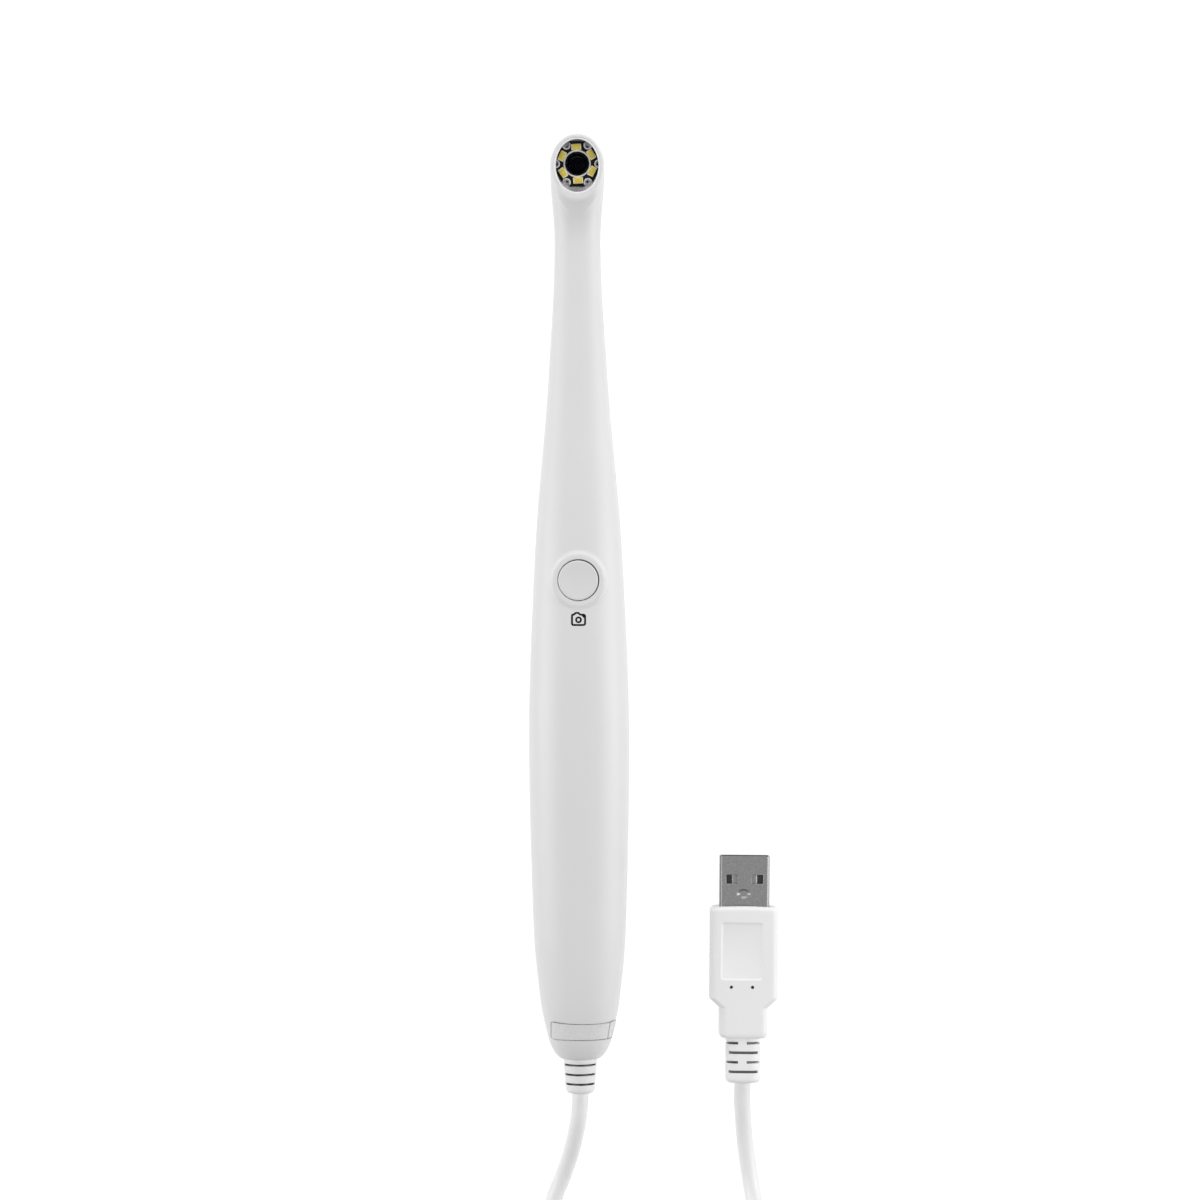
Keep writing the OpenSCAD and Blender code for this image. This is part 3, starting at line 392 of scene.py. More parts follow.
def corneredRing(halfW, halfL, r, steps):  # a rectangle with rounded corners
    ring = []
    for k, (sx, sy) in enumerate([(1, 1), (-1, 1), (-1, -1), (1, -1)]):
        for i in range(steps + 1):
            turn = radians(90 * k + 90 * i / steps)
            ring.append((sx * (halfW - r) + r * cos(turn), sy * (halfL - r) + r * sin(turn)))
    return ring


def quarter(step, first=0, last=90):  # sine and cosine of the turns of a round, in degrees
    return [(sin(radians(a)), cos(radians(a))) for a in range(first, last + 1, step)]


def lathe(profile, centreY, steps):  # profile of (radius, z) from the bottom to the top
    rings = [circleRing(max(r, 0.0), z, (0, centreY), steps) for r, z in profile]
    return meshOf("lathe", *stack(rings), merge=0.0005)


def tube(ringAt, inner, outer, low, high):
    rings = [ringAt(outer, low), ringAt(outer, high), ringAt(inner, high), ringAt(inner, low)]
    points, faces = stack(rings, caps=False)
    n = len(rings[0])
    faces += [(3 * n + j, 3 * n + (j + 1) % n, (j + 1) % n, j) for j in range(n)]
    return meshOf("tube", points, faces)


def evaluated(piece):  # the piece's mesh with its modifiers applied
    graph = bpy.context.evaluated_depsgraph_get()
    return bpy.data.meshes.new_from_object(piece.evaluated_get(graph))


def passedThrough(mesh, modifiers):  # a mesh after a list of (kind, settings)
    holder = bpy.data.objects.new("holder", mesh)
    scene.collection.objects.link(holder)
    for kind, settings in modifiers:
        modifier = holder.modifiers.new(kind, kind)
        for key, value in settings.items():
            setattr(modifier, key, value)
    result = evaluated(holder)
    bpy.data.objects.remove(holder)
    return result


def cutOut(mesh, cutter):
    tool = bpy.data.objects.new("cutter", cutter)
    scene.collection.objects.link(tool)
    result = passedThrough(mesh, [("BOOLEAN", {
        "operation": "DIFFERENCE", "solver": "EXACT", "object": tool})])
    bpy.data.objects.remove(tool)
    return result


def beveled(mesh, width):  # the sharp edges of a moulding, rounded over
    return passedThrough(mesh, [("BEVEL", {
        "width": width * mm, "segments": 2, "limit_method": "ANGLE", "angle_limit": radians(50)})])


def markDepth(mesh, depthAt):  # how deep each point lies in a slot, in mm, which sets its painted shade
    mark = mesh.attributes.new("deep", "FLOAT", "POINT")
    for vertex in mesh.vertices:
        mark.data[vertex.index].value = max(0.0, depthAt(*(vertex.co / mm)))


# The camera looks straight down on the handpiece

view = {
    "frame": 288.0,  # what the picture shows at the height of the handpiece, in mm
    "distance": 800.0,
    "aim": (5.1, 3.18, 10.0),
    "turn": -0.19,
}
print("stage: camera")
lens = bpy.data.cameras.new("Camera")
lens.sensor_fit = "HORIZONTAL"
lens.angle = 2 * atan(view["frame"] / 2 / view["distance"])
lens.clip_start = 0.01
camera = bpy.data.objects.new("Camera", lens)
camera.location = (Vector(view["aim"]) + Vector((0, 0, view["distance"]))) * mm
camera.rotation_euler = (0, 0, radians(view["turn"]))
scene.collection.objects.link(camera)
scene.camera = camera


# The cord: down from the strain relief, round the coil and up into the plug

cordSizes = {
    "diameter": 3.9,
    "coil": (16, -176),
    "outer": 28.2,  # radius of the outermost and of the innermost turns
    "inner": 16.2,
    "turns": 12.5,
    "layers": 4,
    "firstLayer": 2.45,
    "steps": 18,  # points in a turn
    "rise": (-75, 135),  # where a turn climbs to the next layer, in degrees
    "length": 1.87,  # in m
}
leadRoute = [(-0.1, -118, 9.8), (-0.5, -121.5, 9.3), (-1.1, -125, 8.2), (-2, -129, 6.5),
             (-3.2, -133, 4.7), (-4.6, -137, 3.3), (-6.2, -141, 2.6), (-8, -147, 2.4),
             (-10, -154, 2.4), (-11.6, -161, 2.4), (-12.2, -166, 2.4)]
plugRoute = [(44.2, -166, 14.1), (44.1, -161, 12.8), (43.8, -155, 10), (43.2, -150, 7),
             (42.4, -145, 4.3), (41.5, -140, 2.6), (40.6, -134, 2), (39.8, -128, 2.2),
             (39.3, -122, 3.1), (39.1, -118, 3.8)]


def smoothStep(u):
    u = min(1, max(0, u))
    return u * u * (3 - 2 * u)


def coilPoints():
    c = cordSizes
    total = round(c["turns"] * c["steps"])
    perLayer = c["turns"] / c["layers"]
    points = []
    for i in range(total + 1):
        turn = i / c["steps"]
        layer = min(int(turn / perLayer), c["layers"] - 1)
        share = turn / perLayer - layer
        if layer % 2:
            share = 1 - share
        radius = c["outer"] + (c["inner"] - c["outer"]) * share
        height = c["firstLayer"]
        for k in range(1, c["layers"]):
            climb = (turn - k * perLayer) * 360 - c["rise"][0]
            height += c["diameter"] * smoothStep(climb / (c["rise"][1] - c["rise"][0]))
        angle = pi + 2 * pi * turn
        points.append((c["coil"][0] + radius * cos(angle),
                       c["coil"][1] + radius * sin(angle), height))
    return points


def makeCord():
    start = (0, span("strain_relief")[0].y, middle("cord_root").z)
    points = [start] + leadRoute + coilPoints() + plugRoute + [tuple(bootEnd)]
    line = bpy.data.curves.new("cord", "CURVE")
    line.resolution_u = 5
    line.bevel_depth = cordSizes["diameter"] / 2 * mm
    line.bevel_resolution = 5
    line.use_fill_caps = True
    spline = line.splines.new("BEZIER")
    spline.bezier_points.add(len(points) - 1)
    for knot, point in zip(spline.bezier_points, points):
        knot.co = Vector(point) * mm
        knot.handle_left_type = knot.handle_right_type = "AUTO"
    line.materials.append(look["cord"])
    piece = bpy.data.objects.new("cord", line)
    scene.collection.objects.link(piece)
    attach(piece, "camera")
    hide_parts("cord_lead", "cord_coil", "cord_plug_lead")
    return piece, start


# The plug lies turned a little. Its pieces are built along +Y and moved to its place.

plug = {
    "turn": -0.7,
    "shell": (12, 4.5, 12.0),  # width, height and length outside the grip
    "inside": 6.0,  # length inside the grip
    "sheet": 0.3,
    "corner": 0.75,
    "hole": (2.6, 2.1, 3.1, 5.6),  # width, length, place across, distance from the end
    "holeCorner": 0.25,
    "holeRound": 0.18,
    "dimple": (-0.2, 2.95, 1.45, 1.05, 0.55),  # place, half width, half length, depth
}
grip = {
    "width": 16.4,
    "height": 8.0,
    "corner": 1.6,
    "crown": 0.35,  # how far the front face falls back at its corners
    "frontRound": 1.1,
    "shoulder": (22.3, 24.35),  # where it narrows to the waist, from the front face
    "shoulderStep": 0.15,
    "waist": 11.6,
    "waistTo": 31.8,
    "waistRound": (1.1, 0.5),  # in width and in height
    "boot": (8.3, 6.8, 2.4),
    "bootTo": 42.7,
    "bootRound": 1.0,
    "panel": (10.1, 13.9, 0.8),  # width, length, corner
    "panelAt": (-0.55, 10.8),  # its middle across, and from the front face
    "panelDepth": 0.25,
    "panelSlope": 0.5,
    "panelRound": 0.07,
    "dots": (-3.05, 2.03),
    "dotsFrom": 19.45,
    "dotRadius": 0.4,
    "dotRound": 0.06,
    "dotDepth": 1.2,
    "grooves": (6, 6.4, 1.03, 0.27),  # count, first, pitch, radius
    "rows": 4,
    "rowFrom": 1.17,
    "rowPitch": 2.31,
    "slot": 0.66,
    "slotHalf": 3.55,  # half width of a wide slot
    "slotFloor": 2.35,
    "sideSlots": (-1.28, 0.8),  # where they end, beside the middle
    "core": 2.4,
    "edge": 0.05,
    "cutTo": 6,  # how far a cutter reaches, past the outside
}
plugTurn = Matrix.Rotation(radians(plug["turn"]), 4, "Z")


def plugPlace():  # the middle of the grip's front face
    low, high = span("plug_shell")
    length = plug["shell"][2] + plug["inside"]
    back = plugTurn @ Vector((0, length / 2 - plug["shell"][2], 0))
    return (low + high) / 2 + back


plugFront = plugPlace()
bootEnd = plugFront + plugTurn @ Vector((0, -grip["bootTo"], 0))


def toPlug(mesh):
    mesh.transform(Matrix.Translation(plugFront * mm) @ plugTurn)
    return mesh


def dimple(x, y):  # depth of the pressed mark at a point of the shell's top
    cx, cy, hw, hl, depth = plug["dimple"]
    d = hypot((x - cx) / hw, (y - cy) / hl)
    return depth * smoothStep((1.2 - d) / 0.6)  # its slope runs from 0.6 to 1.2 of its size


def boxRing(halfW, halfH, corner, flat):  # points of a rounded rectangle across Y
    corners = [(halfW - corner, halfH - corner), (-halfW + corner, halfH - corner),
               (-halfW + corner, -halfH + corner), (halfW - corner, -halfH + corner)]

    def arc(k, i):
        a = radians(90 * k + 15 * i)
        return corners[k][0] + corner * cos(a), corners[k][1] + corner * sin(a)
    points = []
    for k in range(4):
        points += [arc(k, i) for i in range(6)]
        last, first = arc(k, 6), arc((k + 1) % 4, 0)
        points += [(last[0] + (first[0] - last[0]) * i / flat,
                    last[1] + (first[1] - last[1]) * i / flat) for i in range(flat)]
    return points


def shellRings():
    w, h, out = plug["shell"]
    t, r, back = plug["sheet"], plug["corner"], plug["inside"]

    def ring(inset, y):
        flat = boxRing(w / 2 - inset, h / 2 - inset, max(r - inset, 0.05), 36)
        top = h / 2 - inset - 0.2
        return [(x, y, z - (dimple(x, y) if z > top else 0)) for x, z in flat]

    lipInset = [(0.0, out - 0.15), (0.04, out - 0.05), (0.12, out), (t - 0.08, out),
                (t, out - 0.06)]
    rings = [ring(0, -back + (out + back - 0.25) * i / 90) for i in range(91)]
    rings += [ring(inset, y) for inset, y in lipInset]
    rings += [ring(t, out - 0.3 - (out + back - 0.3) * i / 90) for i in range(91)]
    return rings


def flaredBox(w, l, r, levels):  # a cutter for a hole, from (height, growth) at each level
    return stack([[(x, y, z) for x, y in corneredRing(w / 2 + grow, l / 2 + grow, r + grow, 5)]
                  for z, grow in levels])


def makePlugShell():
    rings = shellRings()
    n = len(rings[0])
    points, faces = stack(rings, caps=False)
    last = (len(rings) - 1) * n
    faces += [(j, last + j, last + (j + 1) % n, (j + 1) % n) for j in range(n)]
    mesh = meshOf("plugShell", points, faces)
    w, l, across, back = plug["hole"]
    h, out = plug["shell"][1:]
    e, top = plug["holeRound"], h / 2 + 0.001
    mouth = [(1, 0)] + [(top - e + e * s, e * (1 - c)) for s, c in quarter(18)] + [(top + 1, e)]
    cutters = []
    for sx in (-1, 1):
        for side in (0, pi):
            cutter = meshOf("cutter", *flaredBox(w, l, plug["holeCorner"], mouth))
            cutter.transform(Matrix.Translation(Vector((sx * across, out - back, 0)) * mm)
                             @ Matrix.Rotation(side, 4, "Y"))
            cutters.append(cutter)
    mesh = toPlug(cutOut(mesh, joined("cutters", cutters)))
    return finished("plug_shell_drawn", mesh, "plugMetal", ["plug_shell"])


# Under each hole of the shell lies a dark plate, and a bent spring covers its inner part
springSizes = {
    "plate": (1.6, 1.5),  # half width and half length
    "plateAt": (0.55, 0.45),  # bottom and top, below the inside of the shell
    "bend": [(0.1, -0.42), (0.3, -0.3), (0.7, -0.3), (1.5, -0.3)],  # inwards, height
    "half": 1.4,
    "thick": 0.06,
}


def makeSprings():
    v = springSizes
    across, back = plug["hole"][2:]
    h, out = plug["shell"][1:]
    top, y = h / 2 - plug["sheet"], out - back
    (a, b), (bottom, roof) = v["plate"], v["plateAt"]
    plates, springs = [], []
    for side in (-1, 1):
        x = side * across
        plates.append(blockCutter((x - a, y - b, top - bottom), (x + a, y + b, top - roof)))
        rings = []
        for dy in (-v["half"], v["half"]):
            path = [(x - side * u, y + dy, top + z) for u, z in v["bend"]]
            rings.append(path + [(px, py, pz - v["thick"]) for px, py, pz in path[::-1]])
        springs.append(meshOf("spring", *stack(rings)))
    return (finished("plug_hole_plates", toPlug(joined("plates", plates)), "black"),
            finished("plug_hole_springs", toPlug(joined("springs", springs)), "plugMetal"))


def gripStations():  # distance from the front face, half width, half height and corner
    g = grip
    w, h, r = g["width"] / 2, g["height"] / 2, g["corner"]
    rows = []
    for s, c in quarter(15):
        inset = g["frontRound"] * (1 - s)
        rows.append((g["frontRound"] * (1 - c), w - inset, h - inset, r - inset / 2))
    rows += [(d, w, h, r) for d in np.linspace(1.6, g["shoulder"][0], 46)]
    low, high = g["shoulder"]
    narrow = g["waist"] / 2
    rows += [(low + (high - low) * k / 8, w + (narrow + g["shoulderStep"] - w) * k / 8, h, r)
             for k in range(1, 9)]
    rw, rh = g["waistRound"]
    rows += [(d, narrow, h, r) for d in np.linspace(high + 0.12, g["waistTo"] - rw, 16)]
    rows += [(g["waistTo"] - rw + rw * s, narrow - rw * (1 - c), h - rh * (1 - c), r)
             for s, c in quarter(15, 15)]
    bw, bh, br = g["boot"][0] / 2, g["boot"][1] / 2, g["boot"][2]
    e = g["bootRound"]
    straight = g["bootTo"] - e
    rows += [(d, bw, bh, br) for d in np.linspace(g["waistTo"] + 0.01, straight, 34)]
    rows += [(straight + e * s, bw - e * (1 - c), bh - e * (1 - c), br - e * (1 - c) / 2)
             for s, c in quarter(15, 15)]
    return rows


def gripDepth(x, y, z):  # how far inside the plain form a point of a dot or a slot lies
    if not grip["dotsFrom"] - 0.9 < -y < grip["bootTo"] - 0.3:
        return 0.0
    w, h, r = (np.interp(-y, gripTable[:, 0], gripTable[:, k]) for k in (1, 2, 3))
    qx, qz = abs(x) - w + r, abs(z) - h + r
    return r - hypot(max(qx, 0), max(qz, 0)) - min(max(qx, qz), 0)


def sideSlot(side, row):  # a slot round one side of the boot, down to the core
    inner = grip["sideSlots"][0 if side < 0 else 1] * side
    start = acos(min(0.95, inner / grip["core"]))
    core, far = grip["core"], grip["cutTo"]
    plan = [(inner, far), (far, far), (far, -far), (inner, -far)]
    plan += [(core * cos(a), core * sin(a)) for a in np.linspace(-start, start, 17)]
    rings = [[(side * x, y, z) for x, z in plan]
             for y in (-row - grip["slot"] / 2, -row + grip["slot"] / 2)]
    return meshOf("cutter", *stack(rings))


def blockCutter(low, high):
    sides = [(low[1], low[2]), (high[1], low[2]), (high[1], high[2]), (low[1], high[2])]
    rings = [[(x, y, z) for y, z in sides] for x in np.linspace(low[0], high[0], 19)]
    return meshOf("cutter", *stack(rings))


def makeGrip():
    g = grip
    rings = []
    for d, w, h, r in gripStations():
        fall = g["crown"] * max(0, 1 - d / 3)
        rings.append([(x, -d - fall * (x / g["width"] * 2)**2, z)
                      for x, z in boxRing(w, h, r, 24)])
    mesh = meshOf("grip", *stack(rings))
    top, far = g["height"] / 2, g["cutTo"]
    w, h, _ = plug["shell"]
    cutters = [blockCutter((-w / 2 - 0.01, -plug["inside"] - 0.05, -h / 2 - 0.01),
                           (w / 2 + 0.01, 1, h / 2 + 0.01))]
    pw, pl, pr = g["panel"]
    px, py = g["panelAt"]
    e = g["panelRound"]
    levels = [(top - g["panelDepth"], -g["panelSlope"]), (top - e, -e), (top, 0), (far, 0)]
    cutters.append(meshOf("cutter", *flaredBox(pw, pl, pr, levels)))
    cutters[-1].transform(Matrix.Translation((px * mm, -py * mm, 0)))
    for x in g["dots"]:
        r, e = g["dotRadius"], g["dotRound"]
        levels = [(r, top - g["dotDepth"]), (r, top - 0.4), (r, top - e),
                  (r + e, top), (r + e, far)]
        cutters.append(meshOf("cutter", *stack([
            circleRing(out, z, (x, -g["dotsFrom"]), 24) for out, z in levels])))
    count, first, pitch, radius = g["grooves"]
    for side in (-1, 1):
        for k in range(count):
            x, y = side * g["width"] / 2, -first - k * pitch
            rings = [circleRing(radius, z, (x, y), 16) for z in (-far, far)]
            cutters.append(meshOf("cutter", *stack(rings)))
    for k in range(g["rows"]):
        row = g["waistTo"] + g["rowFrom"] + k * g["rowPitch"]
        if k % 2:
            for z in (-far, g["slotFloor"]):
                cutters.append(blockCutter(
                    (-g["slotHalf"], -row - g["slot"] / 2, z),
                    (g["slotHalf"], -row + g["slot"] / 2, z + far - g["slotFloor"])))
        else:
            cutters += [sideSlot(-1, row), sideSlot(1, row)]
    mesh = beveled(cutOut(mesh, joined("cutters", cutters)), g["edge"])
    # the depth of each point sets the painted shade in the dots and slots
    markDepth(mesh, gripDepth)
    return finished("plug_grip_moulded", toPlug(mesh), "grip",
                    ["plug_overmould"])


gripTable = np.array(gripStations())


# The housing: the same stations as the source, with smooth skins

housing = {
    # distance from the top, width, height of the front and of the back, in mm
    "stations": [(8.5, 13, 17.4, 4.4), (26, 11, 14.6, 5.2), (59, 14.2, 16.2, 3.6),
                 (100, 20.8, 19.7, 0.9), (145, 24, 21.2, 0), (190, 22.1, 20.4, 0),
                 (208, 18.8, 19.2, 0.8), (221.6, 12.8, 16.6, 3)],
    "power": 2.3,
    "headRound": 7.5,
    "tailRound": 4.8,
    "tailFace": 8.3,
    "wall": 1.2,
    "tailBore": 3.45,
    "seam": 0.07,  # depth of the chamfer along the parting line
    "tipFrom": 12.0,  # from here the rings of the head fan out over its tip
    "postFoot": 0.6,  # how far a post stands in the floor
    "screwPost": (0.9, 2.4),  # radii of the bore and of the post
    "sensorPost": (2.8, 3.6),
}
window = {
    "width": 10.2,
    "length": 12.6,
    "endRadius": 4.6,
    "rim": 1.2,
    "rimRise": 0.15,  # of the rim above the pane
    "ledge": 0.35,
    "seat": 0.37,  # the pane's seat, outside the opening
    "ledgeThick": 0.5,
    "bezelBelow": 1.0,  # of the bezel's foot below the carrier plate
    "lap": 0.1,  # of the bezel into the shell
    "border": (0.001, 0.03),  # bottom and top of the printed border, above the pane
    "rimRound": 0.5,
    "edgeRound": 0.18,
    "blend": 1.5,
    "scoop": 3.8,  # what the blend gains on the side of the neck
    "scoopFrom": 11.0,  # distance from the top where that starts, and how long it takes
    "scoopOver": 5.0,
    "capTo": 30.0,  # so far from the top nothing stands above the rim
}
collar = {"radius": 6.35, "bore": 4.95, "rise": 0.25, "round": 0.5, "edgeRound": 0.15,
          "blend": 1.1, "below": 3.1, "guideTop": 2.2}  # the guide, below the collar's top

places, widths, fronts, backs = (np.array(c, float) for c in zip(*housing["stations"]))
bodyLength = places[-1]
topY = span("front_shell")[1].y
tailY = topY - bodyLength
reliefLength = tailY - span("strain_relief")[0].y
windowY = middle("head_window").y
lensY = middle("front_lens").y
buttonY = middle("button_cap").y
tailZ = middle("cord_root").z


def smoothCurve(values):  # through the stations, never past one
    steps = np.diff(places)
    rates = np.diff(values) / steps
    slopes = np.zeros(len(values))
    slopes[-1] = rates[-1]
    for i in range(1, len(values) - 1):
        if rates[i - 1] * rates[i] > 0:
            slopes[i] = 2 / (1 / rates[i - 1] + 1 / rates[i])

    def at(t):
        i = np.clip(np.searchsorted(places, t, side="right") - 1, 0, len(steps) - 1)
        u = np.clip((t - places[i]) / steps[i], 0, 1)
        return ((2 * u**3 - 3 * u**2 + 1) * values[i] + (3 * u**2 - 2 * u**3) * values[i + 1]
                + (u**3 - 2 * u**2 + u) * steps[i] * slopes[i]
                + (u**3 - u**2) * steps[i] * slopes[i + 1])
    return at


widthAt, frontAt, backAt = smoothCurve(widths), smoothCurve(fronts), smoothCurve(backs)


def sectionAt(t, inset=0.0):  # half width, half height and middle, without the end rounding
    return (widthAt(t) / 2 - inset, (frontAt(t) - backAt(t)) / 2 - inset,
            (frontAt(t) + backAt(t)) / 2)


def capAt(t, inset=0.0):  # how far both ends have closed at t
    head, tail = housing["headRound"], housing["tailRound"]
    share = housing["tailFace"] / widths[-1]
    nose = np.clip((head - t) / (head - inset), 0, 1)
    heel = np.clip((t - bodyLength + tail) / (tail - inset), 0, 1)
    return np.sqrt(1 - nose**2) * (share + (1 - share) * np.sqrt(1 - heel**2))


def reachAt(t, turn, inset=0.0):  # from the middle of a section to its skin
    w, h, _ = sectionAt(t, inset)
    n = housing["power"]
    size = ((np.abs(np.cos(turn)) / w)**n + (np.abs(np.sin(turn)) / h)**n)**(1 / n)
    return capAt(t, inset) / size


def frontHeight(x, y):  # height of the front skin
    t = topY - y
    w, h, mid = sectionAt(t)
    n = housing["power"]
    return mid + h * (1 - min(0.999, abs(x) / w)**n)**(1 / n)


oval = {"endY": window["length"] / 2 - window["endRadius"]}
oval["sideX"] = ((oval["endY"]**2 - (window["width"] / 2 - window["endRadius"])**2)
                 / (2 * (window["width"] / 2 - window["endRadius"])))
oval["sideRadius"] = window["width"] / 2 + oval["sideX"]
oval["turn"] = atan2(oval["endY"], oval["sideX"])


def ovalGap(x, y):  # distance outside the window's opening
    ax, ay = np.abs(x), np.abs(y)
    side = np.hypot(ax + oval["sideX"], ay) - oval["sideRadius"]
    end = np.hypot(ax, ay - oval["endY"]) - window["endRadius"]
    return np.where(np.arctan2(ay, ax + oval["sideX"]) < oval["turn"], side, end)


def ovalRing(out, z, steps=24):  # the opening's outline, moved outwards
    first = []  # its first quarter
    for i in range(steps):
        a = oval["turn"] * i / steps
        r = oval["sideRadius"] + out
        first.append((r * cos(a) - oval["sideX"], r * sin(a)))
    for i in range(steps):
        a = oval["turn"] + (pi / 2 - oval["turn"]) * i / steps
        r = window["endRadius"] + out
        first.append((r * cos(a), oval["endY"] + r * sin(a)))
    far = window["length"] / 2 + out
    ring = first + [(0.0, far)] + [(-x, y) for x, y in first[:0:-1]]
    ring += [(-x, -y) for x, y in first] + [(0.0, -far)] + [(x, -y) for x, y in first[:0:-1]]
    return [(x, windowY + y, z) for x, y in ring]


def drumGap(side, rise, edge):  # distance to an upright drum with a rounded top edge
    a, b = side + edge, rise + edge
    return np.minimum(np.maximum(a, b), 0) + np.hypot(np.maximum(a, 0), np.maximum(b, 0)) - edge


def blended(first, second, size):  # the nearer of two surfaces, with a soft joint between them
    size = np.maximum(size, 1e-6)
    h = np.maximum(size - np.abs(first - second), 0) / size
    return np.minimum(first, second) - h * h * size / 4


rimZ = span("head_window")[1].z + window["rimRise"]
collarZ = float(frontAt(topY - buttonY)) + collar["rise"]
guideZ = collarZ - collar["below"]


def skinGap(p):  # distance outside the housing's plain skin
    x, y, z = p[..., 0], p[..., 1], p[..., 2]
    t = topY - y
    w, h, mid = sectionAt(t)
    n = housing["power"]
    size = ((np.abs(x) / w)**n + (np.abs(z - mid) / h)**n)**(1 / n)
    nose = np.maximum(housing["headRound"] - t, 0) / housing["headRound"]
    return (np.hypot(size, nose) - 1) * h


def frontGap(p):  # the same on the front, with the window's rim and the button's collar
    x, y, z = p[..., 0], p[..., 1], p[..., 2]
    t = topY - y
    _, h, mid = sectionAt(t)
    facing = np.clip((z - mid) / h, 0, 1)**4
    ring = drumGap(np.hypot(x, y - buttonY) - collar["radius"], z - collarZ, collar["round"])
    u = np.clip((t - window["scoopFrom"]) / window["scoopOver"], 0, 1)
    soft = window["blend"] + window["scoop"] * u * u * (3 - 2 * u)
    head = blended(skinGap(p), ovalGap(x, y - windowY) - window["rim"], soft * facing)
    head = np.where(t < window["capTo"], drumGap(head, z - rimZ, window["rimRound"]), head)
    return blended(head, ring, collar["blend"] * facing)


def crossWays(turns, side):  # unit vectors over one half of a section
    return np.stack([np.cos(turns), np.zeros(len(turns)), side * np.sin(turns)], -1)


def outerSkin(turns, side):
    # Rings from the tip of the head to the tail face, each over the same turns
    centreT = housing["tipFrom"]
    mid = sectionAt(centreT)[2]
    across = crossWays(turns, side)
    origins, ways = [], []
    for tilt in np.radians(np.linspace(1.6, 90, 56)[:-1]):
        way = across * np.sin(tilt)
        way[:, 1] = np.cos(tilt)
        origins.append(np.broadcast_to([0, topY - centreT, mid], way.shape))
        ways.append(way)
    spans = [(centreT, 19, 44), (19, 30, 22), (30, 97, 40), (97, 117.5, 102), (117.5, 130, 8)]
    near = np.concatenate([np.linspace(a, b, n, endpoint=False) for a, b, n in spans])
    for t in near:
        origins.append(np.broadcast_to([0, topY - t, sectionAt(t)[2]], across.shape))
        ways.append(across)
    origins, ways = np.array(origins), np.array(ways)
    low = np.zeros(origins.shape[:2])
    high = np.full(origins.shape[:2], 20.0)
    gap = frontGap if side > 0 else skinGap
    halvings = 26
    for _ in range(halvings):  # they find where each ray leaves the housing
        half = (low + high) / 2
        inside = gap(origins + ways * half[..., None]) < 0
        low, high = np.where(inside, half, low), np.where(inside, high, half)
    rings = list(origins + ways * low[..., None])
    tail = housing["tailRound"]
    far = np.concatenate([np.linspace(130, bodyLength - tail, 46, endpoint=False),
                          bodyLength - tail * (1 - np.sin(np.radians(np.linspace(0, 90, 13))))])
    for t in far:
        reach = reachAt(t, turns)[:, None]
        rings.append(np.array([0, topY - t, sectionAt(t)[2]]) + across * reach)
    # The chamfer of the parting line takes up the last 1.1 degrees
    shrink = housing["seam"] * np.clip(1 - np.minimum(turns, pi - turns) / radians(1.1), 0, 1)
    return [ring - across * shrink[:, None] for ring in rings]


def innerSkin(rings, turns, side):
    wall = housing["wall"]
    across = crossWays(turns, side)
    inner = []
    for ring in rings:
        t = wall + (topY - ring[0][1]) * (bodyLength - 2 * wall) / bodyLength
        reach = reachAt(t, turns, wall)[:, None]
        inner.append(np.array([0, topY - t, sectionAt(t)[2]]) + across * reach)
    return inner


def shellMesh(name, side):
    fine = np.radians([0, 0.35, 0.75, 1.15] + list(np.linspace(2, 178, 148))
                      + [178.85, 179.25, 179.65, 180])
    coarse = np.radians(np.linspace(0, 180, 25))
    outer = outerSkin(fine, side)
    inner = innerSkin(outer, coarse, side)
    n, m, c = len(outer), len(fine), len(coarse)
    points = [p for ring in outer for p in ring] + [p for ring in inner for p in ring]
    base = n * m
    faces = []
    for i in range(n - 1):
        for j in range(m - 1):
            faces.append((i * m + j, i * m + j + 1, (i + 1) * m + j + 1, (i + 1) * m + j))
        for j in range(c - 1):
            k = base + i * c + j
            faces.append((k, k + c, k + c + 1, k + 1))
        left, right = base + i * c, base + i * c + c - 1
        faces.append((i * m, (i + 1) * m, left + c, left))
        faces.append((i * m + m - 1, right, right + c, (i + 1) * m + m - 1))
    tipOut, tipIn = len(points), len(points) + 1
    mid = sectionAt(housing["tipFrom"])[2]
    points += [(0, topY, mid), (0, topY - housing["wall"], sectionAt(0)[2])]
    faces += [(tipOut, j + 1, j) for j in range(m - 1)]
    faces += [(tipIn, base + j, base + j + 1) for j in range(c - 1)]
    faces += [(tipOut, 0, base, tipIn), (tipOut, tipIn, base + c - 1, m - 1)]
    lastOut, lastIn = (n - 1) * m, base + (n - 1) * c
    faces.append(tuple(range(lastOut, lastOut + m)))
    faces.append(tuple(range(lastIn + c - 1, lastIn - 1, -1)))
    faces.append((lastOut, lastOut + m - 1, lastIn + c - 1, lastIn))
    return meshOf(name, points, faces)


def flaredBore(ringAt, levels):  # a cutter: ringAt(out, z) at each (out, z)
    return meshOf("cutter", *stack([ringAt(out, z) for out, z in levels]))


def edgeLevels(out, top, edge):  # the rounded edge at the mouth of a hole
    arc = [(out + edge * (1 - c), top - edge + edge * s) for s, c in quarter(15, last=75)]
    return arc + [(out + edge, top), (out + edge, top + 2)]


def tailBore():
    ring = circleRing(housing["tailBore"], 0, (0, tailZ), 64)
    return meshOf("cutter", *stack([[(x, y, z) for x, z, _ in ring]
                                    for y in (tailY - 1, tailY + 3)]))


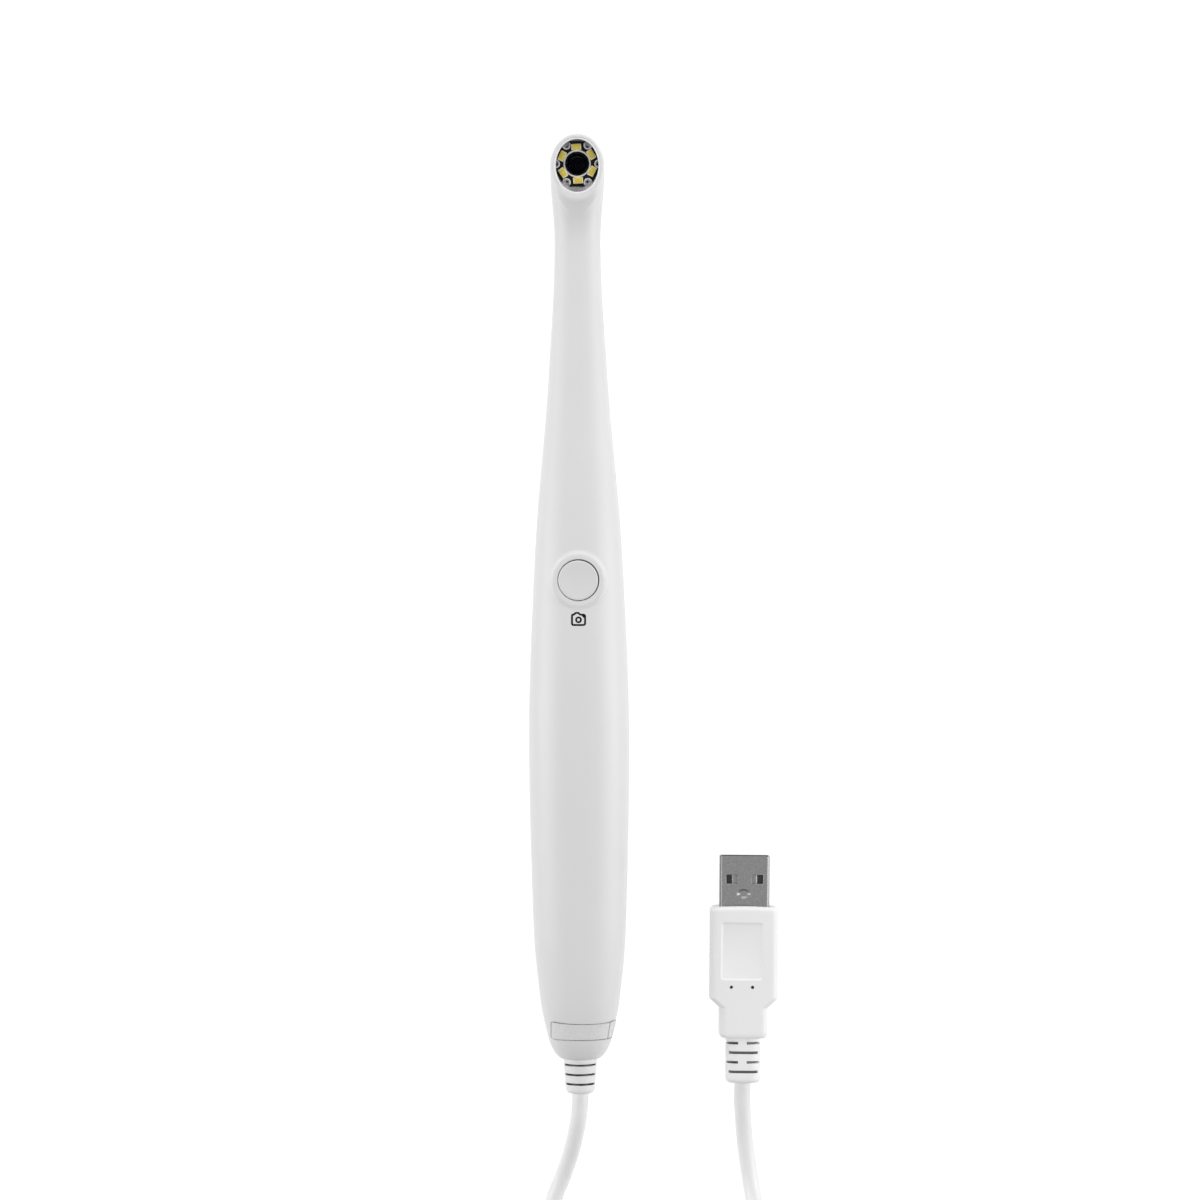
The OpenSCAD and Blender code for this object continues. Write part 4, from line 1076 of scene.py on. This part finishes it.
def makeHousing():
    seatZ = span("head_window")[0].z
    ledgeZ = seatZ - window["ledgeThick"]
    bezelZ = span("carrier_plate")[0].z - window["bezelBelow"]
    windowCutter = flaredBore(ovalRing, [
        (window["ledge"], bezelZ - 2), (window["ledge"], ledgeZ), (0, ledgeZ), (0, seatZ),
        (window["seat"], seatZ)] + edgeLevels(window["seat"], rimZ, window["edgeRound"]))

    def boreRing(out, z):
        return circleRing(out, z, (0, buttonY))

    buttonCutter = flaredBore(boreRing, [(collar["bore"], guideZ - 2)]
                              + edgeLevels(collar["bore"], collarZ, collar["edgeRound"]))
    front = shellMesh("frontShell", 1)
    front = cutOut(front, joined("cutters", [windowCutter, buttonCutter, tailBore()]))
    lap = window["lap"]
    bezel = tube(ovalRing, window["ledge"], window["rim"] - lap, bezelZ, ledgeZ + lap)
    guide = tube(boreRing, collar["bore"], collar["radius"], guideZ,
                 collarZ - collar["guideTop"])
    front = joined("frontShell", [front, bezel, guide])
    finished("front_shell_moulded", front, "housing", ["front_shell"])
    rear = cutOut(shellMesh("rearShell", -1), tailBore())
    posts = []
    for k in (1, 2):
        place = middle(f"board_screw_{k}")

        def postRing(out, z, y=place.y):
            return circleRing(out, z, (0, y), 48)
        floorZ = float(backAt(topY - place.y)) + housing["postFoot"]
        posts.append(tube(postRing, *housing["screwPost"], floorZ, span("main_board")[0].z))

    def seatRing(out, z):
        return circleRing(out, z, (0, lensY), 64)
    floorZ = float(backAt(topY - lensY)) + housing["postFoot"]
    posts.append(tube(seatRing, *housing["sensorPost"], floorZ, span("sensor_board")[0].z))
    finished("rear_shell_moulded", joined("rearShell", [rear] + posts), "housing",
             ["rear_shell"])


# The lights and the pale rims of the notches, repeated round the lens by Geometry Nodes

frontLens = {"sag": 0.85, "edge": 0.04, "skirt": 0.1}  # how far it bulges, and its foot
lights = {"count": 6, "radius": 3.985, "turn": -27.0, "size": (1.47, 2.35), "height": 0.42,
          "corner": 0.12, "panel": (1.26, 1.86), "panelRise": 0.04}
notches = {"count": 6, "radius": 5.1, "turn": 0.0, "inner": 0.7, "outer": 1.03,
           "levels": (-0.15, 0.03), "sweep": 188.0}


def roundLens(name, base, values, materials):
    # Copies of one mesh on a circle round the lens. Its "top" faces take the second material.
    tree = bpy.data.node_groups.new(name, "GeometryNodeTree")
    keys = {}
    face = tree.interface
    face.new_socket(name="Geometry", in_out="OUTPUT", socket_type="NodeSocketGeometry")
    face.new_socket(name="Geometry", in_out="INPUT", socket_type="NodeSocketGeometry")
    for label, kind in [("Count", "Int"), ("Radius", "Float"), ("Turn", "Float"),
                        ("Centre", "Vector"), ("Body", "Material"), ("Top", "Material")]:
        made = face.new_socket(name=label, in_out="INPUT", socket_type="NodeSocket" + kind)
        keys[label] = made.identifier
    graph = Graph(tree)
    start = tree.nodes.new("NodeGroupInput")
    end = tree.nodes.new("NodeGroupOutput")
    given = {label: Wire(graph, start.outputs[label]) for label in [*keys, "Geometry"]}
    circle = graph.node("GeometryNodeMeshCircle", {}, {
        "Vertices": given["Count"], "Radius": given["Radius"]})
    index = graph.node("GeometryNodeInputIndex")
    angle = index * (2 * pi) / given["Count"]
    facing = graph.node("ShaderNodeCombineXYZ", {}, {"Z": angle})
    copies = graph.node("GeometryNodeInstanceOnPoints", {}, {
        "Points": circle, "Instance": given["Geometry"], "Rotation": facing})
    turned = graph.node("ShaderNodeCombineXYZ", {}, {"Z": given["Turn"]})
    placed = graph.node("GeometryNodeTransform", {}, {
        "Geometry": copies, "Translation": given["Centre"], "Rotation": turned})
    real = graph.node("GeometryNodeRealizeInstances", {}, {"Geometry": placed})
    painted = graph.node("GeometryNodeSetMaterial", {}, {
        "Geometry": real, "Material": given["Body"]})
    chosen = graph.node("GeometryNodeInputNamedAttribute", {"data_type": "BOOLEAN"}, {
        "Name": "top"})
    topped = graph.node("GeometryNodeSetMaterial", {}, {
        "Geometry": painted, "Selection": chosen, "Material": given["Top"]})
    graph.feed(end.inputs["Geometry"], topped)
    seed = bpy.data.objects.new(name + "Seed", base)
    scene.collection.objects.link(seed)
    modifier = seed.modifiers.new(name, "NODES")
    modifier.node_group = tree
    centre = Vector((0, lensY, span("led_board")[1].z)) * mm
    sizes = {"Count": values["count"], "Radius": values["radius"] * mm,
             "Turn": radians(values["turn"]), "Centre": centre,
             "Body": look[materials[0]], "Top": look[materials[1]]}
    for label, value in sizes.items():
        modifier[keys[label]] = value
    seed.update_tag()
    mesh = evaluated(seed)
    bpy.data.objects.remove(seed)
    return mesh


def lightMesh():
    # One light: a bevelled pale frame, and a panel that stands a little proud of it
    def block(size, low, high, edge):
        levels = [(low, 0), (high - edge, 0), (high - edge * 0.3, edge * 0.3), (high, edge)]
        return stack([[(x, y, z) for x, y in corneredRing(
            size[0] / 2 - inset, size[1] / 2 - inset, lights["corner"], 3)]
            for z, inset in levels])
    high, frameEdge, panelEdge = lights["height"], 0.07, 0.05
    frameMesh = meshOf("lightFrame", *block(lights["size"], 0, high, frameEdge))
    panel = meshOf("lightPanel", *block(lights["panel"], high - panelEdge,
                                        high + lights["panelRise"], panelEdge))
    mesh = joined("light", [frameMesh, panel])
    flags = mesh.attributes.new("top", "BOOLEAN", "FACE")
    for k in range(len(frameMesh.polygons), len(mesh.polygons)):
        flags.data[k].value = True
    return mesh


def notchMesh():
    # The pale rim inside one notch: a thin arc that opens outwards
    inner, outer = notches["inner"], notches["outer"]
    low, high = notches["levels"]
    steps = 28
    rings = []
    for i in range(steps + 1):
        a = radians(180 + notches["sweep"] * (i / steps - 0.5))
        rings.append([(r * cos(a), r * sin(a), z) for r, z in
                      [(inner, low), (inner + 0.03, high), (outer - 0.03, high), (outer, low)]])
    mesh = meshOf("notchRim", *stack(rings))
    mesh.attributes.new("top", "BOOLEAN", "FACE")
    return mesh


def makeHead():
    lightsMesh = roundLens("LightRing", lightMesh(), lights, ("ledFrame", "phosphor"))
    finished("light_ring", lightsMesh, None, [f"led_{k}" for k in range(1, 7)])
    rims = roundLens("NotchRims", notchMesh(), notches, ("notch", "notch"))
    finished("notch_rims", rims, None)
    paneTop = span("head_window")[1].z
    low, high = window["border"]
    border = tube(ovalRing, 0.0, window["ledge"] - 0.01, paneTop + low, paneTop + high)
    finished("window_border", border, "print")
    low, high = span("front_lens")
    radius, sag = (high.x - low.x) / 2, frontLens["sag"]
    dome = (radius**2 + sag**2) / (2 * sag)
    profile = [(radius, low.z - frontLens["skirt"])]
    for i in range(19):
        a = asin((radius - frontLens["edge"]) / dome) * (1 - i / 18)
        profile.append((dome * sin(a), high.z - dome + dome * cos(a)))
    finished("front_lens_domed", lathe(profile, lensY, 96), "lens",
             ["front_lens"], smooth=50)


# The button: a dished cap on a skirt with a flange and a stem

buttonSizes = {"dish": 0.25, "round": 0.32, "rim": 0.25, "flange": 0.9, "flangeThick": 1.0,
               "gap": 0.1, "wall": 1.0, "roof": 1.5, "play": (-0.07, -0.06)}


def makeButton():
    b = buttonSizes
    low, high = span("button_cap")
    top = high.z
    radius = (high.x - low.x) / 2 - b["flange"]
    low, high = span("switch_plunger")
    stem, stemZ = (high.x - low.x) / 2, high.z
    flat = radius - b["round"] - b["rim"]
    dishRadius = (flat**2 + b["dish"]**2) / (2 * b["dish"])
    dish = [(flat * i / 24, top - b["dish"] + dishRadius
             - sqrt(dishRadius**2 - (flat * i / 24)**2)) for i in range(25)]
    rim = [(radius - b["round"] + b["round"] * s, top - b["round"] + b["round"] * c)
           for s, c in quarter(9)]  # from the flat rim round to the skirt
    flangeZ = guideZ - b["gap"]
    bottom = flangeZ - b["flangeThick"]
    profile = [(0, stemZ), (stem, stemZ), (stem, top - b["roof"]),
               (radius - b["wall"], top - b["roof"]), (radius - b["wall"], bottom),
               (radius + b["flange"], bottom), (radius + b["flange"], flangeZ), (radius, flangeZ)]
    profile += rim[::-1] + dish[::-1]
    mesh = lathe(profile, buttonY, 128)
    mesh.transform(Matrix.Translation(Vector((*b["play"], 0)) * mm))  # it leans in its guide
    finished("button_dished", mesh, "button", ["button_cap"], body="button")


# The printed camera sign below the button, in a plain shape of its own

sign = {"below": 9.4, "width": 3.1, "height": 2.44, "corner": 0.42, "stroke": 0.45,
        "hump": (-0.36, 0.95, 0.42), "ring": 0.57, "ringStroke": 0.44,
        "flash": (0.62, 0.3), "flashStroke": 0.24, "rise": 0.015}


def strokeMesh(path, width):  # a closed line of ink that follows the housing
    n = len(path)
    rings = []
    for i, (x, y) in enumerate(path):
        px, py = path[i - 1]
        qx, qy = path[(i + 1) % n]
        length = hypot(qx - px, qy - py)
        nx, ny = (qy - py) / length, -(qx - px) / length
        ring = []
        for out, rise in [(-1, -0.03), (-1, sign["rise"]), (0, sign["rise"]), (1, sign["rise"]),
                          (1, -0.03)]:
            cx, cy = x + nx * out * width / 2, y + ny * out * width / 2
            ring.append((cx, cy, frontHeight(cx, cy) + rise))
        rings.append(ring)
    rings.append(rings[0])
    return meshOf("stroke", *stack(rings, caps=False), merge=0.0005)


def roundedPath(corners, radius, step=0.12):  # a closed path with its corners rounded
    path = []
    n = len(corners)
    for i in range(n):
        p, q, r = (Vector(corners[k % n]) for k in (i - 1, i, i + 1))
        a, b = (p - q).normalized(), (r - q).normalized()
        cut = min(radius, (p - q).length / 2.2, (r - q).length / 2.2)
        start, end = q + a * cut, q + b * cut
        for k in range(7):
            u = k / 6
            path.append(tuple(start * (1 - u)**2 + q * 2 * u * (1 - u) + end * u * u))
        nextStart = r + (q - r).normalized() * min(radius, (q - r).length / 2.2)
        gap = (nextStart - end).length
        for k in range(1, ceil(gap / step)):
            path.append(tuple(end + (nextStart - end) * k / ceil(gap / step)))
    return path


def makeSign():
    s = sign
    y = buttonY - s["below"]
    w, h = s["width"] / 2, s["height"] / 2
    humpX, humpW, humpH = s["hump"]
    corners = [(-w, y - h), (w, y - h), (w, y + h), (humpX + humpW * 0.75, y + h),
               (humpX + humpW * 0.4, y + h + humpH), (humpX - humpW * 0.4, y + h + humpH),
               (humpX - humpW * 0.75, y + h), (-w, y + h)]
    outline = strokeMesh(roundedPath(corners, s["corner"]), s["stroke"])
    a, b = s["flash"]
    flash = strokeMesh(roundedPath([(w - a, y + h - b), (w - b, y + h - a), (w - b, y + h - b)],
                                   0.05, 0.06), s["flashStroke"])
    ring = strokeMesh([(px, py) for px, py, _ in circleRing(s["ring"], 0, (0, y), 40)],
                      s["ringStroke"])
    finished("camera_sign", joined("cameraSign", [outline, flash, ring]), "ink")


# The clear film on the tail, bare, with a crease near its right end

film = {
    "ends": (-6.95, 8.75, 8.4),  # across: left end, right end at the top and at the bottom
    "drop": 0.2,  # of the top border below the CAD film's, and more in the middle
    "sag": 0.45,
    "corner": 0.7,
    "thick": 0.08,
    "gap": 0.005,
    "border": 0.2,
    "crease": (6.85, 0.143, 0.16),  # its place across, its lean and its width
    "unit": 20.0,  # mm that the film's UV map counts as one
}


def filmSurface(graph):
    parts = graph.node("ShaderNodeSeparateXYZ", {}, {
        "Vector": graph.node("ShaderNodeUVMap", {"uv_map": "film"})}).socket.node.outputs
    across, along = (Wire(graph, parts[k]) * film["unit"] for k in ("X", "Y"))
    at, lean, wide = film["crease"]
    beside = across - along * lean - at
    rim = attribute(graph, "inner") < film["border"]
    line = rim.math("MAXIMUM", rim, (abs(beside) < wide / 2) * 0.8)
    haze = noise(graph, objectPlace(graph), 0.8, 3)
    return {
        "Base Color": mixColour(graph, line, grey(0.95), grey(0.2)),
        "Alpha": 0.07 + haze * 0.07 + (beside > 0) * 0.08 + line * 0.34,
        "Roughness": 0.12 + haze * 0.12,
    }


def turnAt(t, x):  # where the skin reaches x, as a turn round the middle of its section
    reach = float(reachAt(t, 0.0))
    x = max(-0.99, min(0.99, x / reach)) * reach
    low, high = 0.0, pi
    for _ in range(30):
        half = (low + high) / 2
        if cos(half) * float(reachAt(t, half)) > x:
            low = half
        else:
            high = half
    return low


def makeFilm():
    f = film
    low, high = span("tail_label")
    t0, t1 = topY - high.y, topY - low.y
    height = t1 - t0
    columns, rows = 72, 22
    tops, marks = [], []
    for j in range(rows + 1):
        share = j / rows
        fromEnd = max(0, abs(2 * share - 1) * height / 2 - height / 2 + f["corner"])
        pull = f["corner"] - sqrt(max(0, f["corner"]**2 - fromEnd**2))
        t = t0 + f["drop"] * (1 - share) + share * height
        left = turnAt(t, f["ends"][0] + pull)
        right = turnAt(t, f["ends"][1] + (f["ends"][2] - f["ends"][1]) * share - pull)
        row = []
        for i in range(columns + 1):
            turn = left + (right - left) * i / columns
            sag = f["sag"] * (1 - share) * (1 - (2 * i / columns - 1)**2)
            place = t + sag
            row.append((place, turn, float(reachAt(place, turn))))
        steps = [hypot(cos(a[1]) * a[2] - cos(b[1]) * b[2], sin(a[1]) * a[2] - sin(b[1]) * b[2])
                 for a, b in zip(row, row[1:])]
        for i in range(columns + 1):
            before, after = sum(steps[:i]), sum(steps[i:])
            side = min(share, 1 - share) * height
            _, turn, reach = row[i]
            marks.append((cos(turn) * reach, (0.5 - share) * height, min(before, after, side)))
        tops += row
    n, m, total = columns + 1, rows + 1, len(tops)
    points = []
    for lift in (f["thick"], f["gap"]):
        for t, turn, reach in tops:
            points.append((cos(turn) * (reach + lift), topY - t,
                           sectionAt(t)[2] + sin(turn) * (reach + lift)))
    faces = []
    for j in range(m - 1):
        for i in range(n - 1):
            a = j * n + i
            faces.append((a, a + 1, a + n + 1, a + n))
            faces.append((total + a, total + a + n, total + a + n + 1, total + a + 1))
    for i in range(n - 1):
        faces.append((i, total + i, total + i + 1, i + 1))
        a = (m - 1) * n + i
        faces.append((a, a + 1, total + a + 1, total + a))
    for j in range(m - 1):
        a = j * n
        faces.append((a, a + n, total + a + n, total + a))
        b = a + n - 1
        faces.append((b, total + b, total + b + n, b + n))
    mesh = meshOf("film", points, faces)
    layer = mesh.uv_layers.new(name="film")
    for loop in mesh.loops:
        across, along, _ = marks[loop.vertex_index % total]
        layer.data[loop.index].uv = (across / f["unit"], along / f["unit"])
    inner = mesh.attributes.new("inner", "FLOAT", "POINT")
    for k in range(len(mesh.vertices)):
        inner.data[k].value = marks[k % total][2]
    look["film"] = material("ClearTailFilm", {}, filmSurface)
    finished("tail_film", mesh, "film", ["tail_label"])


# The soft sleeve where the cord leaves the tail, slotted over the top and under the bottom

relief = {
    "root": 4.05,  # radii at the tail face and before the end's round
    "end": 3.5,
    "endRound": 1.2,
    "rootRound": 0.15,
    "bore": 1.93,
    "neck": 3.4,  # inside the housing: the neck in the wall and the flange behind it
    "flange": 4.6,
    "flangeThick": 2.0,
    "slots": 3,
    "slotFrom": 1.4,
    "pitch": 2.3,
    "slotWidth": 0.54,
    "core": 2.5,
    "web": 0.75,  # half height of the webs at both sides
    "edge": 0.05,
    "cutTo": 6,  # radius that a slot's cutter reaches, past the outside
}


def reliefRadius(d):  # d: distance from the tail face
    r = relief
    straight = reliefLength - r["endRound"]
    if d < straight:
        return r["root"] + (r["end"] - r["root"]) * max(d, 0) / straight
    over = min(d - straight, r["endRound"])
    return r["end"] - r["endRound"] + sqrt(r["endRound"]**2 - over**2)


def reliefDepth(x, y, z):
    d = tailY - y
    inside = 0.02 < d < reliefLength - 0.02
    return reliefRadius(d) - hypot(x, z - tailZ) if inside else 0.0


def makeRelief():
    r = relief
    wall = housing["wall"]
    profile = [(r["bore"], -wall - r["flangeThick"]), (r["flange"], -wall - r["flangeThick"]),
               (r["flange"], -wall), (r["neck"], -wall), (r["neck"], 0.01)]
    e = r["rootRound"]
    profile += [(r["root"] - e + e * s, 0.01 + e - e * c) for s, c in quarter(30)]
    straight = reliefLength - r["endRound"]
    profile += [(reliefRadius(d), d) for d in
                [straight * k / 12 for k in range(1, 13)]
                + [straight + r["endRound"] * s for s, _ in quarter(10, 10)]]
    profile.append((r["bore"], reliefLength))
    rings = [[(p * cos(2 * pi * i / 96), tailY - d, tailZ + p * sin(2 * pi * i / 96))
              for p, d in profile] for i in range(96)]
    mesh = meshOf("relief", *stack(rings + [rings[0]], caps=False), merge=0.0005)
    cutters = []
    low, high = asin(r["web"] / r["core"]), asin(r["web"] / r["cutTo"])
    arc = [(r["core"], low + (pi - 2 * low) * k / 24) for k in range(25)]
    arc += [(r["cutTo"], pi - high - (pi - 2 * high) * k / 24) for k in range(25)]
    for k in range(r["slots"]):
        d = r["slotFrom"] + k * r["pitch"]
        for side in (1, -1):
            slotRings = [[(p * cos(a), tailY - y, tailZ + side * p * sin(a)) for p, a in arc]
                         for y in (d - r["slotWidth"] / 2, d + r["slotWidth"] / 2)]
            cutters.append(meshOf("cutter", *stack(slotRings)))
    mesh = beveled(cutOut(mesh, joined("cutters", cutters)), r["edge"])
    # the depth of each point sets the painted shade in the slots
    markDepth(mesh, reliefDepth)
    finished("strain_relief_soft", mesh, "relief", ["strain_relief"])


# The strap that holds the coil

strap = {"thick": 0.5, "round": 1.8, "edge": 0.12}


def makeTie():
    low, high = span("coil_tie")
    cx, cy, cz = ((a + b) / 2 for a, b in zip(low, high))
    half, halfY, halfZ = ((b - a) / 2 for a, b in zip(low, high))

    def loop(inset, dx):
        ring = corneredRing(halfY - inset, halfZ - inset, strap["round"] - inset, 8)
        return [(cx + dx, cy + y, cz + z) for y, z in ring]
    t, e = strap["thick"], strap["edge"]
    rings = [loop(e, -half), loop(0, -half + e), loop(0, half - e), loop(e, half),
             loop(t - e, half), loop(t, half - e), loop(t, -half + e), loop(t - e, -half)]
    points, faces = stack(rings + [rings[0]], caps=False)
    mesh = meshOf("strap", points, faces, merge=0.0005)
    return finished("coil_strap", mesh, "strap", ["coil_tie"])


print("stage: cord")
cordPiece, cordStart = makeCord()
print("stage: plug")
plugShell, plugGrip = makePlugShell(), makeGrip()
holeSprings = makeSprings()
print("stage: tie")
tie = makeTie()
onCord = [plugShell, plugGrip, tie, *holeSprings] + [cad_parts[n] for n in
          ("plug_insulator", "contact_1", "contact_2", "contact_3", "contact_4")]
print("stage: housing")
makeHousing()
print("stage: head")
makeHead()
print("stage: button, sign and film")
makeButton()
makeSign()
makeFilm()
print("stage: strain relief")
makeRelief()


# The pale floor, the world and the lamps

studio = {
    "floor": 6.0,  # in m
    "shadow": 0.22,  # share of the floor's own shading that the picture shows
    "base": 0.9,  # what the floor glows by itself where the camera looks
    "fill": 0.39,
    "gap": 0.0003,  # of the floor below the object, in m
    "aim": (0.01, 0, 0.01),
    # place and size of a lamp in m, its power in W
    "lamps": {
        "left": ((-1.05, 0.0, 0.36), (0.4, 1.2), 7.2),
        "right": ((1.05, 0.0, 0.36), (0.4, 1.2), 7.7),
        "head": ((0.05, 1.0, 0.4), (0.9, 0.35), 4.2),
    },
}


def shownRay(graph):  # 1 where the camera, a gloss or a glass looks
    path = graph.node("ShaderNodeLightPath", {}, {})
    rays = [Wire(graph, path.socket.node.outputs[name])
            for name in ("Is Camera Ray", "Is Glossy Ray", "Is Transmission Ray")]
    seen = rays[0] + rays[1] + rays[2]
    return seen.math("MINIMUM", seen, 1)


def makeStudio():
    size = studio["floor"]
    mesh = bpy.data.meshes.new("floor")
    mesh.from_pydata([(-size, -size, 0), (size, -size, 0), (size, size, 0), (-size, size, 0)],
                     [], [(0, 1, 2, 3)])
    floor = bpy.data.objects.new("floor", mesh)
    floor.location.z = -studio["gap"]
    scene.collection.objects.link(floor)
    surface = bpy.data.materials.new("PaleFloor")
    surface.use_nodes = True
    mesh.materials.append(surface)
    graph = Graph(surface.node_tree)
    surface.node_tree.nodes.remove(surface.node_tree.nodes["Principled BSDF"])
    shade = graph.node("ShaderNodeBsdfDiffuse", {}, {"Color": grey(studio["shadow"])})
    glow = graph.node("ShaderNodeEmission", {}, {"Color": grey(1), "Strength": studio["base"]})
    shown = graph.node("ShaderNodeAddShader", {}, {0: shade, 1: glow})
    plain = graph.node("ShaderNodeBsdfDiffuse", {}, {"Color": grey(0.8)})
    both = graph.node("ShaderNodeMixShader", {}, {0: shownRay(graph), 1: plain, 2: shown})
    graph.feed(surface.node_tree.nodes["Material Output"].inputs["Surface"], both)
    world = bpy.data.worlds.new("Studio")
    scene.world = world
    world.use_nodes = True
    graph = Graph(world.node_tree)
    strength = studio["fill"] + shownRay(graph) * (1 - studio["fill"])
    backdrop = world.node_tree.nodes["Background"]
    backdrop.inputs["Color"].default_value = grey(1)
    graph.feed(backdrop.inputs["Strength"], strength)
    for name, (place, shape, power) in studio["lamps"].items():
        lamp = bpy.data.lights.new(name, "AREA")
        lamp.shape = "RECTANGLE"
        lamp.size, lamp.size_y = shape
        lamp.energy = power
        holder = bpy.data.objects.new(name, lamp)
        holder.location = place
        aim = Vector(studio["aim"]) - Vector(place)
        holder.rotation_euler = aim.to_track_quat("-Z", "Y").to_euler()
        scene.collection.objects.link(holder)


print("stage: studio")
makeStudio()
scene.view_settings.view_transform = "Standard"
